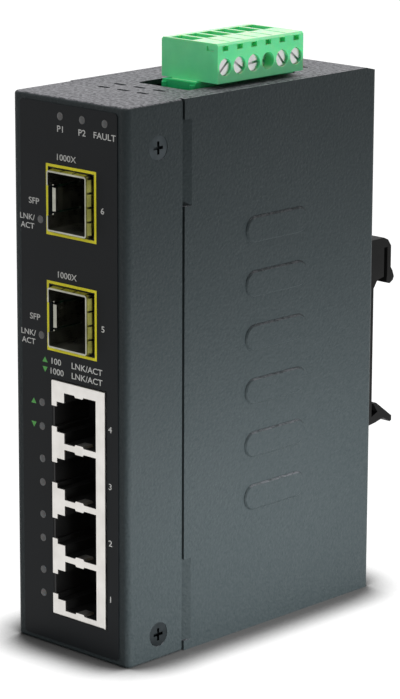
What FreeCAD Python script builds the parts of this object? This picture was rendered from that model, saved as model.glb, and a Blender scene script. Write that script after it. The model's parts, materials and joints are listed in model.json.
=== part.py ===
"""Din rail ethernet switch: slim upright steel case, 4 jacks, 2 transceiver cages, pull-off terminal plug.

Millimetres. X runs across the front from left to right, Y from the front to the back, Z up.
Shapes are drawn with Y = 0 on the front panel and moved by PANEL_Y when they are written, so the
origin of the finished part is the middle of its footprint, at the level of its base.
"""
import FreeCAD, Part
import os

from FreeCAD import Vector

# ---- case ------------------------------------------------------------------------------------
CASE_WIDTH = 38.0
CASE_DEPTH = 88.0
CASE_HEIGHT = 135.0
SHEET = 1.2                 # steel sheet of both case halves
BEND_RADIUS = 1.5           # outer radius of the upright folds
PANEL_EDGE_RADIUS = 0.8     # fold between the front and the top or bottom
FIT_GAP = 0.1               # clearance between sheets that lie side by side
SEAM_GAP = 0.8              # open slot between the front's side flange and the cover
FLANGE_DEPTH = 18.4         # how far the front's side flanges run back
TAB_LOWEST = 2.4            # lower edge of the lower cover tab, above the base
TAB_TALL = 20.6             # height of each tab that the cover slides under a flange
TAB_TOP_SETBACK = 4.9       # from the top of the case to the upper tab
TAB_REACH = 12.4            # how far a tab runs under its flange
JOGGLE = 2.4                # length of the tab's sideways step behind the seam
CASE_SCREW_INSET = 8.0      # case screws, in front of the side flanges' back edges
CASE_SCREW_TOP = 10.4       # upper case screws, below the top
CASE_SCREW_BASE = 6.3       # lower case screws, above the base
REAR_FALL_RUN = 4.0         # the top falls off a little along its rear edge
REAR_FALL_DROP = 0.95
STIFFENER_TALL = 7.0        # folded-down edges of the top and bottom plates
CORNER_RELIEF = 3.0         # gap between a stiffener and the tabs

# ---- raised ribs on the cover's sides -----------------------------------------------------------
RIB_COUNT = 6
RIB_LENGTH = 22.0
RIB_TALL = 6.4
RIB_PITCH = 13.4
RIB_RISE = 0.5
RIB_MIDDLE_BACK = 51.4      # middle of the ribs, behind the front panel
RIB_MIDDLE_UP = 67.0        # middle of the ribs, above the base
RIB_CROWN = 0.35            # slope of the pressed edge

# ---- vents ----------------------------------------------------------------------------------------
VENT_LENGTH = 3.8
VENT_WIDTH = 1.2
VENT_PITCH = 6.5
VENT_COLUMNS = 3
VENT_ROWS_BACK = (18.0, 23.5, 68.5, 74.0)

# ---- fasteners --------------------------------------------------------------------------------------
M3_SHANK = 1.5              # radius
M3_HEAD = 2.95              # radius of a countersunk head
M3_HEAD_TALL = 1.6
M3_LENGTH = 5.5
M3_CLEARANCE = 0.06         # radial clearance of a screw in its hole
HEAD_SINK = 0.1             # heads lie this far under the surface
CROSS_WIDTH = 0.75
CROSS_REACH = 1.55
CROSS_DEPTH = 1.0
NUT_RADIUS = 2.6            # clinch nuts
NUT_BARREL = 2.0
NUT_TALL = 2.6
PAN_HEAD = 2.8
PAN_HEAD_TALL = 1.8
PAN_HEAD_SLOPE = 0.6

# ---- printed film on the front ----------------------------------------------------------------------
FILM_THICK = 0.25
FILM_SIDE_MARGIN = 2.9
FILM_END_MARGIN = 1.5
FILM_CORNER = 1.0

# ---- main board -------------------------------------------------------------------------------------
BOARD_FACE = -5.6           # component side, measured across from the middle of the case
BOARD_THICK = 1.6
BOARD_FRONT = 3.0           # front edge, behind the panel
BOARD_BACK = 80.0
BOARD_LOW = 4.0
BOARD_TOP_GAP = 4.0         # from the board's upper edge to the top of the case
BOARD_EAR_WIDTH = 8.0       # ears bent from the plates, which hold the board
BOARD_EAR_TALL = 10.0
BOARD_EAR_BACKS = (24.0, 74.0)
BOARD_SCREW_INSET = 6.5     # board screws, from the inner face of the plate
BOARD_SCREW_PAST = 0.8      # and how far they pass the ears

# ---- jacks ------------------------------------------------------------------------------------------
JACK_COUNT = 4
JACK_PITCH = 13.97
JACK_GANG_MIDDLE = 37.3     # above the base
JACK_GANG_LOW_END = 7.8     # from the lowest jack's middle to the shield's lower end
JACK_GANG_HIGH_END = 8.8    # from the highest jack's middle to the shield's upper end
JACK_PROUD = 0.8            # shield face, in front of the panel
JACK_DEPTH = 21.0           # from the shield's face to its back
JACK_HEIGHT = 17.7          # from the board to the shield's far side
SHIELD = 0.4
JACK_MOUTH_TALL = 12.5
JACK_MOUTH_NEAR = 4.25      # mouth's edge on the latch side, from the board
JACK_MOUTH_FAR = 14.9
JACK_STEP_TALL = 7.5
JACK_STEP_NEAR = 1.7
JACK_LATCH_TALL = 5.1
JACK_FLOOR = 0.6
JACK_CAVITY = 14.0          # mouth's depth
JACK_STEP_DEPTH = 11.5
GROUND_BUMP_FROM = 7.7      # bumps on the bars, from the board
GROUND_BUMP_TO = 10.8
GROUND_BUMP_RISE = 0.45
GROUND_BUMP_SLOPE = 0.3
GROUND_BUMP_DEPTH = 3.2
SHIELD_EDGE = 0.35          # rounding of the shield's front edge
HOUSING_GAP = 0.05
CONTACTS_PER_JACK = 8
CONTACT_PITCH = 1.02
CONTACT_WIRE = 0.4
CONTACT_RUN = 8.4           # how far a contact reaches back
CONTACT_DROP = 3.2          # and how far it slopes into the mouth
CONTACT_START = 4.2         # behind the shield's face
PANEL_RELIEF = 0.25         # panel opening around the shield and cages

# ---- transceiver cages ------------------------------------------------------------------------------
LOWER_CAGE_MIDDLE = 82.5    # above the base
UPPER_CAGE_REST = 0.774929  # share of the free room above the lower cage that lies below the upper one
CAGE_TALL = 14.5
CAGE_HEIGHT = 13.1          # from the board to the cage's far side
CAGE_SHEET = 0.4
CAGE_PROUD = 1.9
CAGE_LENGTH = 47.0
CAGE_OPENING_TALL = 15.1    # panel opening
CAGE_OPENING_NEAR = -0.9    # panel opening's edges, from the board's face
CAGE_OPENING_FAR = 13.9
CAGE_NOTCH_TALL = 7.3       # notch for the latch tongue
TONGUE_TALL = 6.2
TONGUE_DEPTH = 9.0
TONGUE_RISE = 0.6
CAGE_CORNER = 0.7
FINGER_COUNT_SIDE = 4       # spring fingers along the long side
FINGER_COUNT_END = 3        # and along each short side
FINGER_SLOT = 0.5
FINGER_RISE = 0.5
FINGER_CREST_FRONT = -0.7
FINGER_CREST_BACK = -0.1
FINGER_SHEET = 0.18
FINGER_FRONT = -1.65
FINGER_BACK = 4.6
COLLAR_BAND = 1.2
PORT_CONNECTOR_DEPTH = 9.2
PORT_CONNECTOR_SETBACK = 1.2
PORT_CONNECTOR_HEIGHT = 6.6
CARD_SLOT = 1.2
CARD_SLOT_ACROSS = 3.9      # slot's middle, from the board
CARD_SLOT_TALL = 10.6
CARD_SLOT_DEPTH = 5.0

# ---- indicator lights -------------------------------------------------------------------------------
GUIDE_RADIUS = 0.9
GUIDE_HOLE_GAP = 0.05
GUIDE_LENGTH = 6.0
PORT_LIGHT_ACROSS = -9.45   # column beside the ports, from the middle of the case
PORT_LIGHT_OFFSETS = (2.4, -3.5)
CAGE_LIGHT_DROP = 5.3       # cage light, below the cage's middle
STATUS_LIGHTS_ACROSS = (-2.6, 4.7, 12.1)
STATUS_LIGHT_DROP = 4.3     # from the top of the case
LED_DEEP = 3.0
LED_TALL = 2.6
LED_REACH = 1.5             # led block past the guide's axis

# ---- terminal block ---------------------------------------------------------------------------------
POLE_COUNT = 6
POLE_PITCH = 5.0
PLUG_FRONT = 33.9
PLUG_END_WALL = 0.1         # added at each end of the row
PLUG_LEFT = -2.8
PLUG_WIDTH = 18.4
PLUG_TALL = 9.5
PLUG_LIFT = 1.3             # plug body above the case's top
PLUG_CORNER = 0.5
HEADER_LEFT = -0.6
HEADER_WIDTH = 10.8
HEADER_END = 2.0            # header past the plug at each end
HEADER_TALL = 14.4
HEADER_RIM = 1.2            # header's rim above the case's top
HEADER_WALL = 1.2
HEADER_FLOOR = 2.4
HEADER_FOOT_TALL = 5.4
HEADER_RIB = 0.8            # radius of the upright ribs at the header's ends
HEADER_RIB_SHORT = 0.6      # ribs, below the header's rim
MATING_GAP = 0.12           # plug in header
MATING_FLOOR_GAP = 0.6
HEADER_PIN = 1.0
HEADER_PIN_TOP_GAP = 3.6    # pin tips below the header's rim
PIN_GAP = 0.03
PIN_TAIL = 1.2              # pin past the board
CUTOUT_FRONT_GAP = 3.4      # top plate's opening, in front of the header
CUTOUT_BACK_GAP = 0.8
CUTOUT_LEFT_GAP = 5.0
CUTOUT_RIGHT_GAP = 1.0
CUTOUT_CORNER = 0.8
SCREW_UP = 3.75             # terminal screws, above the plug's underside
SCREW_BORE = 2.1
SCREW_HEAD = 1.95
SCREW_HEAD_TALL = 1.4
SCREW_SHANK = 1.2
SCREW_SLOT = 0.6
SCREW_SLOT_DEPTH = 0.7
SCREW_SINKS = (0.6, 0.6, 0.6, 2.6, 0.6, 0.6)
SCREW_SLOT_TURNS = (40.0, -35.0, 5.0, -20.0, -50.0, -38.0)
CHAMBER_WIDE = 4.0          # wire chamber, along the row
CHAMBER_NEAR = 2.6          # chamber, from the plug's left side
CHAMBER_FAR = 15.2
CHAMBER_LOW = 1.2           # chamber's floor above the plug's underside
CLAMP_GAP = 0.06
CLAMP_NEAR = 4.8            # clamp's left end, from the plug's left side
CLAMP_LENGTH = 6.8
CLAMP_TALL = 4.4
CLAMP_SIDE = 0.45
CLAMP_HEAD_WALL = 1.6
CLAMP_FOOT_WALL = 0.8
BAR_NEAR = 8.6              # contact bar, from the plug's left side
BAR_THICK = 0.8
BAR_WIDE = 2.2
BAR_BELOW = 1.0             # bar under the plug's body
SOCKET_OUTSIDE = 2.6
SOCKET_GAP = 0.05           # socket's bore round the pin
BORE_PAST_PIN = 0.4
SOCKET_TALL = 8.0
SOCKET_UP = 0.6             # socket's mouth above the tongue's end
SOCKET_STEP = 0.8           # the bar starts this far under the socket's top
PIN_ROOM = 0.2              # tongue's bore round the pin
PLUG_SEAT = 0.2             # the plug's neck under its body
FUNNEL_FAR = 9.0            # wire mouth, from the plug's left side
FUNNEL_FLARE = 0.45
FUNNEL_DEEP = 1.4
RIB_GROOVE = 0.5            # grooves across the plug's top
GROOVE_START = 10.2         # from the plug's left side
GROOVE_END = 1.0            # from its right side
TEST_SLOT_TALL = 1.2
TEST_SLOT_WIDE = 2.0
TEST_SLOT_UP = 8.2
TEST_SLOT_DEPTH = 1.2
LATCH_NOTCH = 0.5           # depth of the end wall's two moulded lines
LATCH_LEFT = 3.6            # their left end, from the plug's right side
LATCH_LOW = 1.9             # their lower edge, below the plug's top
LATCH_LINES = ((1.4, 1.5), (3.1, 0.8))

# ---- rail clip --------------------------------------------------------------------------------------
CLIP_WIDTH = 33.0
CLIP_BASE = 3.0
CLIP_LOW = 41.6
CLIP_HIGH = 90.2
CLIP_HOOK_DEPTH = 9.6
CLIP_HOOK_MOUTH = 79.6
CLIP_BLOCK_DEPTH = 6.9
CLIP_SLOT = 1.3
CLIP_SLOT_TOP = 87.6
CLIP_STRIP = 1.4
CLIP_FOOT_DEPTH = 10.9
CLIP_FOOT_TALL = 2.6
CLIP_FIN_ROOT = 47.4
CLIP_FIN_TIP = 42.9
CLIP_FIN_EDGE = 1.5
CLIP_ROUND = 0.6
CLIP_SCREWS = ((-9.0, 71.0), (9.0, 71.0), (0.0, 56.0))
CLIP_SCREW_LENGTH = 7.2

# ---- parts on the board -----------------------------------------------------------------------------
MAGNETICS_DEEP = 16.0
MAGNETICS_TALL = 12.6
MAGNETICS_HIGH = 6.2
MAGNETICS_BACK = 27.0
CHIP_SIDE = 24.0
CHIP_HIGH = 1.6
CHIP_BACK = 62.0
CHIP_UP = 46.0
SINK_SIDE = 26.0
SINK_BASE = 2.0
SINK_HIGH = 11.0
SINK_FINS = 7
SINK_FIN = 1.2
CAP_RADIUS = 4.0
CAP_HIGH = 12.0
CAP_SLOPE = 0.5
CAP_FRONT = 56.0            # front capacitors, behind the panel
CAP_PITCH = 10.0
CAPS_REST = 0.585106        # share of the free room above the heat sink that lies below the capacitors
CAP_ABOVE_RELAY = 1.2
COIL_SIDE = 12.0
COIL_HIGH = 7.0
COIL_CORNER = 2.0
COIL_BACK = 66.0
COIL_ABOVE_CAPS = 4.0
RELAY_DEEP = 15.0
RELAY_TALL = 7.6
RELAY_HIGH = 10.0
RELAY_BACK = 66.0
RELAY_ABOVE_COIL = 3.2
CRYSTAL_LENGTH = 11.0
CRYSTAL_WIDTH = 4.6
CRYSTAL_HIGH = 3.6
CRYSTAL_BACK = 62.0
CRYSTAL_BELOW_SINK = 3.7

# ---- working allowances -----------------------------------------------------------------------------
PAST = 1.0                  # how far a cutting tool passes a face
TOLERANCE = 0.01            # places closer than this count as equal

# ---- places that follow from the sizes above --------------------------------------------------------
HALF_WIDTH = CASE_WIDTH / 2
INNER_HALF = HALF_WIDTH - SHEET
CASE_SCREW_BACK = FLANGE_DEPTH - CASE_SCREW_INSET
COVER_FRONT = FLANGE_DEPTH + SEAM_GAP
PLATE_BACK = CASE_DEPTH - SHEET - FIT_GAP
PLATE_HALF = INNER_HALF - FIT_GAP
TAB_OUT = INNER_HALF - FIT_GAP
CLIP_REACH = CLIP_FOOT_DEPTH
PANEL_Y = -(CASE_DEPTH + CLIP_REACH - CAGE_PROUD) / 2
TOP = CASE_HEIGHT
BOARD_REAR_FACE = BOARD_FACE - BOARD_THICK
BOARD_HIGH = TOP - BOARD_TOP_GAP
STATUS_LIGHT_UP = TOP - STATUS_LIGHT_DROP
PLUG_LENGTH = POLE_COUNT * POLE_PITCH + 2 * PLUG_END_WALL
PLUG_RIGHT = PLUG_LEFT + PLUG_WIDTH
PLUG_LOW = TOP + PLUG_LIFT
PLUG_HIGH = PLUG_LOW + PLUG_TALL
HEADER_FRONT = PLUG_FRONT - HEADER_END
HEADER_BACK = PLUG_FRONT + PLUG_LENGTH + HEADER_END
HEADER_RIGHT = HEADER_LEFT + HEADER_WIDTH
HEADER_HIGH = TOP + HEADER_RIM
HEADER_LOW = HEADER_HIGH - HEADER_TALL
CAGE_ROOM = HEADER_LOW - LOWER_CAGE_MIDDLE - 1.5 * CAGE_TALL
CAGE_MIDDLES = (LOWER_CAGE_MIDDLE, LOWER_CAGE_MIDDLE + CAGE_TALL + UPPER_CAGE_REST * CAGE_ROOM)
SCREW_AXIS_UP = PLUG_LOW + SCREW_UP
CLAMP_LOW = SCREW_AXIS_UP - CLAMP_TALL / 2
HEADER_MIDDLE = HEADER_LEFT + HEADER_WIDTH / 2
POWER_TALL = (4 * CAP_RADIUS + COIL_ABOVE_CAPS + COIL_SIDE + RELAY_ABOVE_COIL + RELAY_TALL
              + CAP_ABOVE_RELAY)
CAPS_ABOVE_SINK = CAPS_REST * (HEADER_LOW - CHIP_UP - SINK_SIDE / 2 - POWER_TALL)
CAPS_UP = CHIP_UP + SINK_SIDE / 2 + CAPS_ABOVE_SINK + CAP_RADIUS
COIL_UP = CAPS_UP + CAP_RADIUS + COIL_ABOVE_CAPS + COIL_SIDE / 2
RELAY_UP = COIL_UP + COIL_SIDE / 2 + RELAY_ABOVE_COIL + RELAY_TALL / 2
TOP_CAP_UP = RELAY_UP + RELAY_TALL / 2 + CAP_ABOVE_RELAY + CAP_RADIUS
CRYSTAL_UP = CHIP_UP - SINK_SIDE / 2 - CRYSTAL_BELOW_SINK - CRYSTAL_WIDTH / 2
CAP_PLACES = ((CAP_FRONT, CAPS_UP), (CAP_FRONT + CAP_PITCH, CAPS_UP), (CAP_FRONT, TOP_CAP_UP))


def box(x0, x1, y0, y1, z0, z1):
    """A block between two corners."""
    return Part.makeBox(x1 - x0, y1 - y0, z1 - z0, Vector(x0, y0, z0))


def rod(radius, length, start, direction):
    """A cylinder from a start point along a direction."""
    return Part.makeCylinder(radius, length, Vector(*start), Vector(*direction))


def join(shapes):
    """One solid from touching or overlapping shapes, without the seams between them."""
    first, rest = shapes[0], shapes[1:]
    if not rest:
        return first
    return first.multiFuse(rest).removeSplitter()


def side_prism(points, x0, x1):
    """A shape with an outline in Y and Z, between two places across the case."""
    wire = Part.makePolygon([Vector(x0, y, z) for y, z in points + points[:1]])
    return Part.Face(wire).extrude(Vector(x1 - x0, 0, 0))


def plan_prism(points, z0, z1):
    """A shape with an outline in X and Y, between two heights."""
    wire = Part.makePolygon([Vector(x, y, z0) for x, y in points + points[:1]])
    return Part.Face(wire).extrude(Vector(0, 0, z1 - z0))


def front_prism(points, y0, y1):
    """A shape with an outline in X and Z, between two depths."""
    wire = Part.makePolygon([Vector(x, y0, z) for x, z in points + points[:1]])
    return Part.Face(wire).extrude(Vector(0, y1 - y0, 0))


def edges_along(shape, axis, test):
    """Straight edges that run along an axis and whose middle passes the test."""
    found = []
    for edge in shape.Edges:
        if edge.Curve.TypeId != "Part::GeomLine":
            continue
        run = edge.Vertexes[1].Point - edge.Vertexes[0].Point
        along = abs(getattr(run, axis))
        if along > 0.99 * run.Length and test(edge.CenterOfMass):
            found.append(edge)
    return found


def rounded_block(x0, x1, y0, y1, z0, z1, radius, axis):
    """A block whose edges along one axis are rounded."""
    block = box(x0, x1, y0, y1, z0, z1)
    return block.makeFillet(radius, edges_along(block, axis, lambda middle: True))


def pill(centre, along, across, length, width, direction, depth):
    """A block with round ends: its middle, two directions in its face, its size and its depth."""
    long_way = Vector(*along) * ((length - width) / 2)
    wide_way = Vector(*across) * (width / 2)
    end_way = Vector(*along) * (width / 2)
    middle = Vector(*centre)
    right, left = middle + long_way, middle - long_way
    wire = Part.Wire([Part.makeLine(left + wide_way, right + wide_way),
                      Part.Arc(right + wide_way, right + end_way, right - wide_way).toShape(),
                      Part.makeLine(right - wide_way, left - wide_way),
                      Part.Arc(left - wide_way, left - end_way, left + wide_way).toShape()])
    return Part.Face(wire).extrude(Vector(*direction) * depth)


def near(value, target):
    """True where two lengths agree to within a hundredth of a millimetre."""
    return abs(value - target) < TOLERANCE


# ---- case ---------------------------------------------------------------------------------------------
def front_block(width_half, front, back, low, high, radius):
    """A block with its two upright front edges rounded."""
    block = box(-width_half, width_half, front, back, low, high)
    upright = edges_along(block, "z", lambda middle: near(middle.y, front))
    return block.makeFillet(radius, upright)


def vent_slots(z0, z1):
    """The rows of short slots in the top or bottom plate."""
    slots = []
    for back in VENT_ROWS_BACK:
        for column in range(VENT_COLUMNS):
            middle = (column - (VENT_COLUMNS - 1) / 2) * VENT_PITCH
            slots.append(pill((middle, back, z0), (1, 0, 0), (0, 1, 0), VENT_LENGTH, VENT_WIDTH,
                              (0, 0, 1), z1 - z0))
    return slots


def case_screw_places():
    """Side (-1 or 1) and height of each case screw."""
    heights = (TOP - CASE_SCREW_TOP, CASE_SCREW_BASE)
    return [(side, up) for side in (-1, 1) for up in heights]


def countersunk(start, direction, length, head, shank):
    """Body of a countersunk screw from the flat of its head along its axis."""
    axis = Vector(*direction)
    cone = Part.makeCone(head, shank, M3_HEAD_TALL, Vector(*start), axis)
    return join([cone, Part.makeCylinder(shank, length, Vector(*start), axis)])


def case_screw_hole(side, up):
    """The countersunk hole for one case screw, as a cutting tool."""
    start = (side * (HALF_WIDTH - HEAD_SINK), CASE_SCREW_BACK, up)
    return join([countersunk(start, (-side, 0, 0), M3_LENGTH, M3_HEAD + M3_CLEARANCE,
                             M3_SHANK + M3_CLEARANCE),
                 rod(M3_HEAD + M3_CLEARANCE, 2 * HEAD_SINK, start, (side, 0, 0))])


def cross_recess(start, direction):
    """The cross-shaped driver recess of a screw head, as a cutting tool."""
    across = Vector(0, 1, 0) if abs(direction[0]) > 0.5 else Vector(1, 0, 0)
    axis = Vector(*direction)
    second = axis.cross(across)
    arms = []
    for wide, narrow in ((across, second), (second, across)):
        corner = (Vector(*start) - wide * CROSS_REACH - narrow * (CROSS_WIDTH / 2)
                  - axis * HEAD_SINK)
        points = [corner, corner + wide * (2 * CROSS_REACH),
                  corner + wide * (2 * CROSS_REACH) + narrow * CROSS_WIDTH,
                  corner + narrow * CROSS_WIDTH, corner]
        arms.append(Part.Face(Part.makePolygon(points)).extrude(axis * (CROSS_DEPTH + HEAD_SINK)))
    return join(arms)


def jack_middles():
    """Heights of the jacks' middles, from the lowest up."""
    first = JACK_GANG_MIDDLE - (JACK_COUNT - 1) / 2 * JACK_PITCH
    return [first + index * JACK_PITCH for index in range(JACK_COUNT)]


def light_places():
    """Across and up of every indicator light on the panel."""
    places = [(across, STATUS_LIGHT_UP) for across in STATUS_LIGHTS_ACROSS]
    places += [(PORT_LIGHT_ACROSS, middle - CAGE_LIGHT_DROP) for middle in CAGE_MIDDLES]
    for middle in jack_middles():
        places += [(PORT_LIGHT_ACROSS, middle + offset) for offset in PORT_LIGHT_OFFSETS]
    return places


def jack_gang_ends():
    """Lower and upper end of the jacks' common shield."""
    middles = jack_middles()
    return middles[0] - JACK_GANG_LOW_END, middles[-1] + JACK_GANG_HIGH_END


def port_openings(front, back):
    """Cutting tools for the openings round the jacks and the cages."""
    low, high = jack_gang_ends()
    tools = [box(BOARD_FACE - PANEL_RELIEF, BOARD_FACE + JACK_HEIGHT + PANEL_RELIEF, front, back,
                 low - PANEL_RELIEF, high + PANEL_RELIEF)]
    half = CAGE_OPENING_TALL / 2
    for middle in CAGE_MIDDLES:
        tools.append(box(BOARD_FACE + CAGE_OPENING_NEAR, BOARD_FACE + CAGE_OPENING_FAR, front, back,
                         middle - half, middle + half))
    return tools


def header_cutout():
    """The opening in the top plate that the terminal header stands in."""
    return rounded_block(HEADER_LEFT - CUTOUT_LEFT_GAP, HEADER_RIGHT + CUTOUT_RIGHT_GAP,
                         HEADER_FRONT - CUTOUT_FRONT_GAP, HEADER_BACK + CUTOUT_BACK_GAP,
                         TOP - 2 * SHEET, TOP + SHEET, CUTOUT_CORNER, "z")


def board_ears():
    """Ears bent from the top and bottom plates against the back of the board."""
    ears = []
    for back in BOARD_EAR_BACKS:
        y0, y1 = back - BOARD_EAR_WIDTH / 2, back + BOARD_EAR_WIDTH / 2
        x0, x1 = BOARD_REAR_FACE - SHEET, BOARD_REAR_FACE
        ears.append(box(x0, x1, y0, y1, SHEET, SHEET + BOARD_EAR_TALL))
        ears.append(box(x0, x1, y0, y1, TOP - SHEET - BOARD_EAR_TALL, TOP - SHEET))
    return ears


def board_screw_places():
    """Back and up of the four board screws."""
    heights = (SHEET + BOARD_SCREW_INSET, TOP - SHEET - BOARD_SCREW_INSET)
    return [(back, up) for back in BOARD_EAR_BACKS for up in heights]


def front_chassis():
    """Front panel with its side flanges, top and bottom, folded from one sheet."""
    shell = front_block(HALF_WIDTH, 0, FLANGE_DEPTH, 0, TOP, BEND_RADIUS)
    ends = edges_along(shell, "x", lambda middle: near(middle.y, 0))
    shell = shell.makeFillet(PANEL_EDGE_RADIUS, ends)
    hollow = front_block(INNER_HALF, SHEET, FLANGE_DEPTH + SHEET, SHEET, TOP - SHEET,
                         BEND_RADIUS - SHEET)
    shell = shell.cut(hollow)
    pieces = [shell]
    for z0, z1 in ((0, SHEET), (TOP - SHEET, TOP)):
        plate = box(-PLATE_HALF, PLATE_HALF, FLANGE_DEPTH, PLATE_BACK, z0, z1)
        corners = edges_along(plate, "z", lambda middle: near(middle.y, PLATE_BACK))
        pieces.append(plate.makeFillet(BEND_RADIUS, corners))
    stiffener_front = COVER_FRONT + JOGGLE + CORNER_RELIEF
    for side in (-1, 1):
        x0, x1 = sorted((side * PLATE_HALF, side * (PLATE_HALF - SHEET)))
        for z0, z1 in ((SHEET, SHEET + STIFFENER_TALL), (TOP - SHEET - STIFFENER_TALL, TOP - SHEET)):
            pieces.append(box(x0, x1, stiffener_front, PLATE_BACK - BEND_RADIUS, z0, z1))
    chassis = join(pieces + board_ears())
    tools = port_openings(-SHEET, 2 * SHEET)
    tools += [rod(GUIDE_RADIUS + GUIDE_HOLE_GAP, 3 * SHEET, (across, -SHEET, up), (0, 1, 0))
              for across, up in light_places()]
    tools += vent_slots(-SHEET, 2 * SHEET) + vent_slots(TOP - 2 * SHEET, TOP + SHEET)
    tools += [header_cutout(), rear_fall()]
    tools += [case_screw_hole(side, up) for side, up in case_screw_places()]
    for back, up in board_screw_places():
        tools.append(rod(M3_SHANK + M3_CLEARANCE, 3 * SHEET, (BOARD_REAR_FACE + SHEET, back, up),
                         (-1, 0, 0)))
    return chassis.cut(tools)


def rear_fall():
    """Cutting tool for the slight fall along the top's rear edge."""
    start = CASE_DEPTH - REAR_FALL_RUN
    end = start + 2 * REAR_FALL_RUN
    return side_prism([(start, TOP), (end, TOP - 2 * REAR_FALL_DROP), (end, TOP + SHEET),
                       (start, TOP + SHEET)], -CASE_WIDTH, CASE_WIDTH)


def tab_heights():
    """Lower and upper edge of each cover tab."""
    high = TOP - TAB_TOP_SETBACK
    return ((TAB_LOWEST, TAB_LOWEST + TAB_TALL), (high - TAB_TALL, high))


def cover_tab(side, low, high):
    """A tab that steps inwards behind the seam and runs under the front's flange."""
    front = FLANGE_DEPTH - TAB_REACH
    outer = ((HALF_WIDTH, COVER_FRONT + JOGGLE), (TAB_OUT, COVER_FRONT), (TAB_OUT, front),
             (TAB_OUT - SHEET, front), (TAB_OUT - SHEET, COVER_FRONT + SHEET / 2),
             (INNER_HALF, COVER_FRONT + JOGGLE + SHEET / 2), (INNER_HALF, COVER_FRONT + 2 * JOGGLE),
             (HALF_WIDTH, COVER_FRONT + 2 * JOGGLE))
    return plan_prism([(side * x, y) for x, y in outer], low, high)


def rib(side, up):
    """One pressed rib: the raised outside and the hollow behind it."""
    def pressed(outer_x, depth, grow):
        return pill((outer_x, RIB_MIDDLE_BACK, up), (0, 1, 0), (0, 0, 1), RIB_LENGTH + 2 * grow,
                    RIB_TALL + 2 * grow, (-side, 0, 0), depth)
    crest = side * (HALF_WIDTH + RIB_RISE)
    raised = pressed(crest, RIB_RISE + SHEET / 2, 0)
    rim = [edge for edge in raised.Edges if all(near(vertex.X, crest) for vertex in edge.Vertexes)]
    raised = raised.makeChamfer(RIB_CROWN, rim)
    hollow = pressed(side * (INNER_HALF + RIB_RISE), 2 * RIB_RISE, -SHEET / 2)
    return raised, hollow


def wrap_cover():
    """Both sides and the back, folded from one sheet round the chassis."""
    outer = box(-HALF_WIDTH, HALF_WIDTH, COVER_FRONT, CASE_DEPTH, 0, TOP)
    outer = outer.makeFillet(BEND_RADIUS, edges_along(outer, "z", lambda m: near(m.y, CASE_DEPTH)))
    inner = box(-INNER_HALF, INNER_HALF, COVER_FRONT - 1, CASE_DEPTH - SHEET, -1, TOP + 1)
    inner = inner.makeFillet(BEND_RADIUS - SHEET,
                             edges_along(inner, "z", lambda m: near(m.y, CASE_DEPTH - SHEET)))
    cover = outer.cut(inner)
    notches, raised, hollows = [], [], []
    for side in (-1, 1):
        for low, high in tab_heights():
            x0, x1 = sorted((side * (INNER_HALF - 1), side * (HALF_WIDTH + 1)))
            notches.append(box(x0, x1, COVER_FRONT - 1, COVER_FRONT + JOGGLE, low, high))
        for index in range(RIB_COUNT):
            up = RIB_MIDDLE_UP + (index - (RIB_COUNT - 1) / 2) * RIB_PITCH
            one_raised, one_hollow = rib(side, up)
            raised.append(one_raised)
            hollows.append(one_hollow)
    tabs = [cover_tab(side, low, high) for side in (-1, 1) for low, high in tab_heights()]
    cover = join([cover.cut(notches)] + tabs + raised)
    tools = hollows + [rear_fall()]
    for side, up in case_screw_places():
        start = (side * (TAB_OUT + FIT_GAP), CASE_SCREW_BACK, up)
        tools.append(rod(NUT_BARREL, 2 * SHEET, start, (-side, 0, 0)))
    for across, up in CLIP_SCREWS:
        tools.append(rod(NUT_BARREL, 3 * SHEET, (across, CASE_DEPTH - 2 * SHEET, up), (0, 1, 0)))
    return cover.cut(tools)


def clinch_nut(face, direction):
    """A round nut pressed into a sheet from inside: its barrel fills the sheet's hole."""
    axis = Vector(*direction)
    start = Vector(*face)
    barrel = Part.makeCylinder(NUT_BARREL, SHEET, start, axis)
    collar = Part.makeCylinder(NUT_RADIUS, NUT_TALL, start + axis * SHEET, axis)
    hole = Part.makeCylinder(M3_SHANK + M3_CLEARANCE, NUT_TALL + 3 * SHEET, start - axis * SHEET, axis)
    return join([barrel, collar]).cut(hole)


def case_nuts():
    """The nuts in the cover's tabs and back."""
    nuts = [clinch_nut((side * TAB_OUT, CASE_SCREW_BACK, up), (-side, 0, 0)).cut(
        case_screw_hole(side, up)) for side, up in case_screw_places()]
    nuts += [clinch_nut((across, CASE_DEPTH, up), (0, -1, 0)) for across, up in CLIP_SCREWS]
    return Part.makeCompound(nuts)


def case_screws():
    """The four countersunk screws in the front's side flanges."""
    screws = []
    for side, up in case_screw_places():
        start = (side * (HALF_WIDTH - HEAD_SINK), CASE_SCREW_BACK, up)
        direction = (-side, 0, 0)
        screw = countersunk(start, direction, M3_LENGTH, M3_HEAD, M3_SHANK)
        screws.append(screw.cut(cross_recess(start, direction)))
    return Part.makeCompound(screws)


def front_film():
    """The film that carries the front's printing, open at the ports and clear over the lights."""
    film = rounded_block(-HALF_WIDTH + FILM_SIDE_MARGIN, HALF_WIDTH - FILM_SIDE_MARGIN,
                         -FILM_THICK, 0, FILM_END_MARGIN, TOP - FILM_END_MARGIN, FILM_CORNER, "y")
    return film.cut(port_openings(-1, 1))


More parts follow.
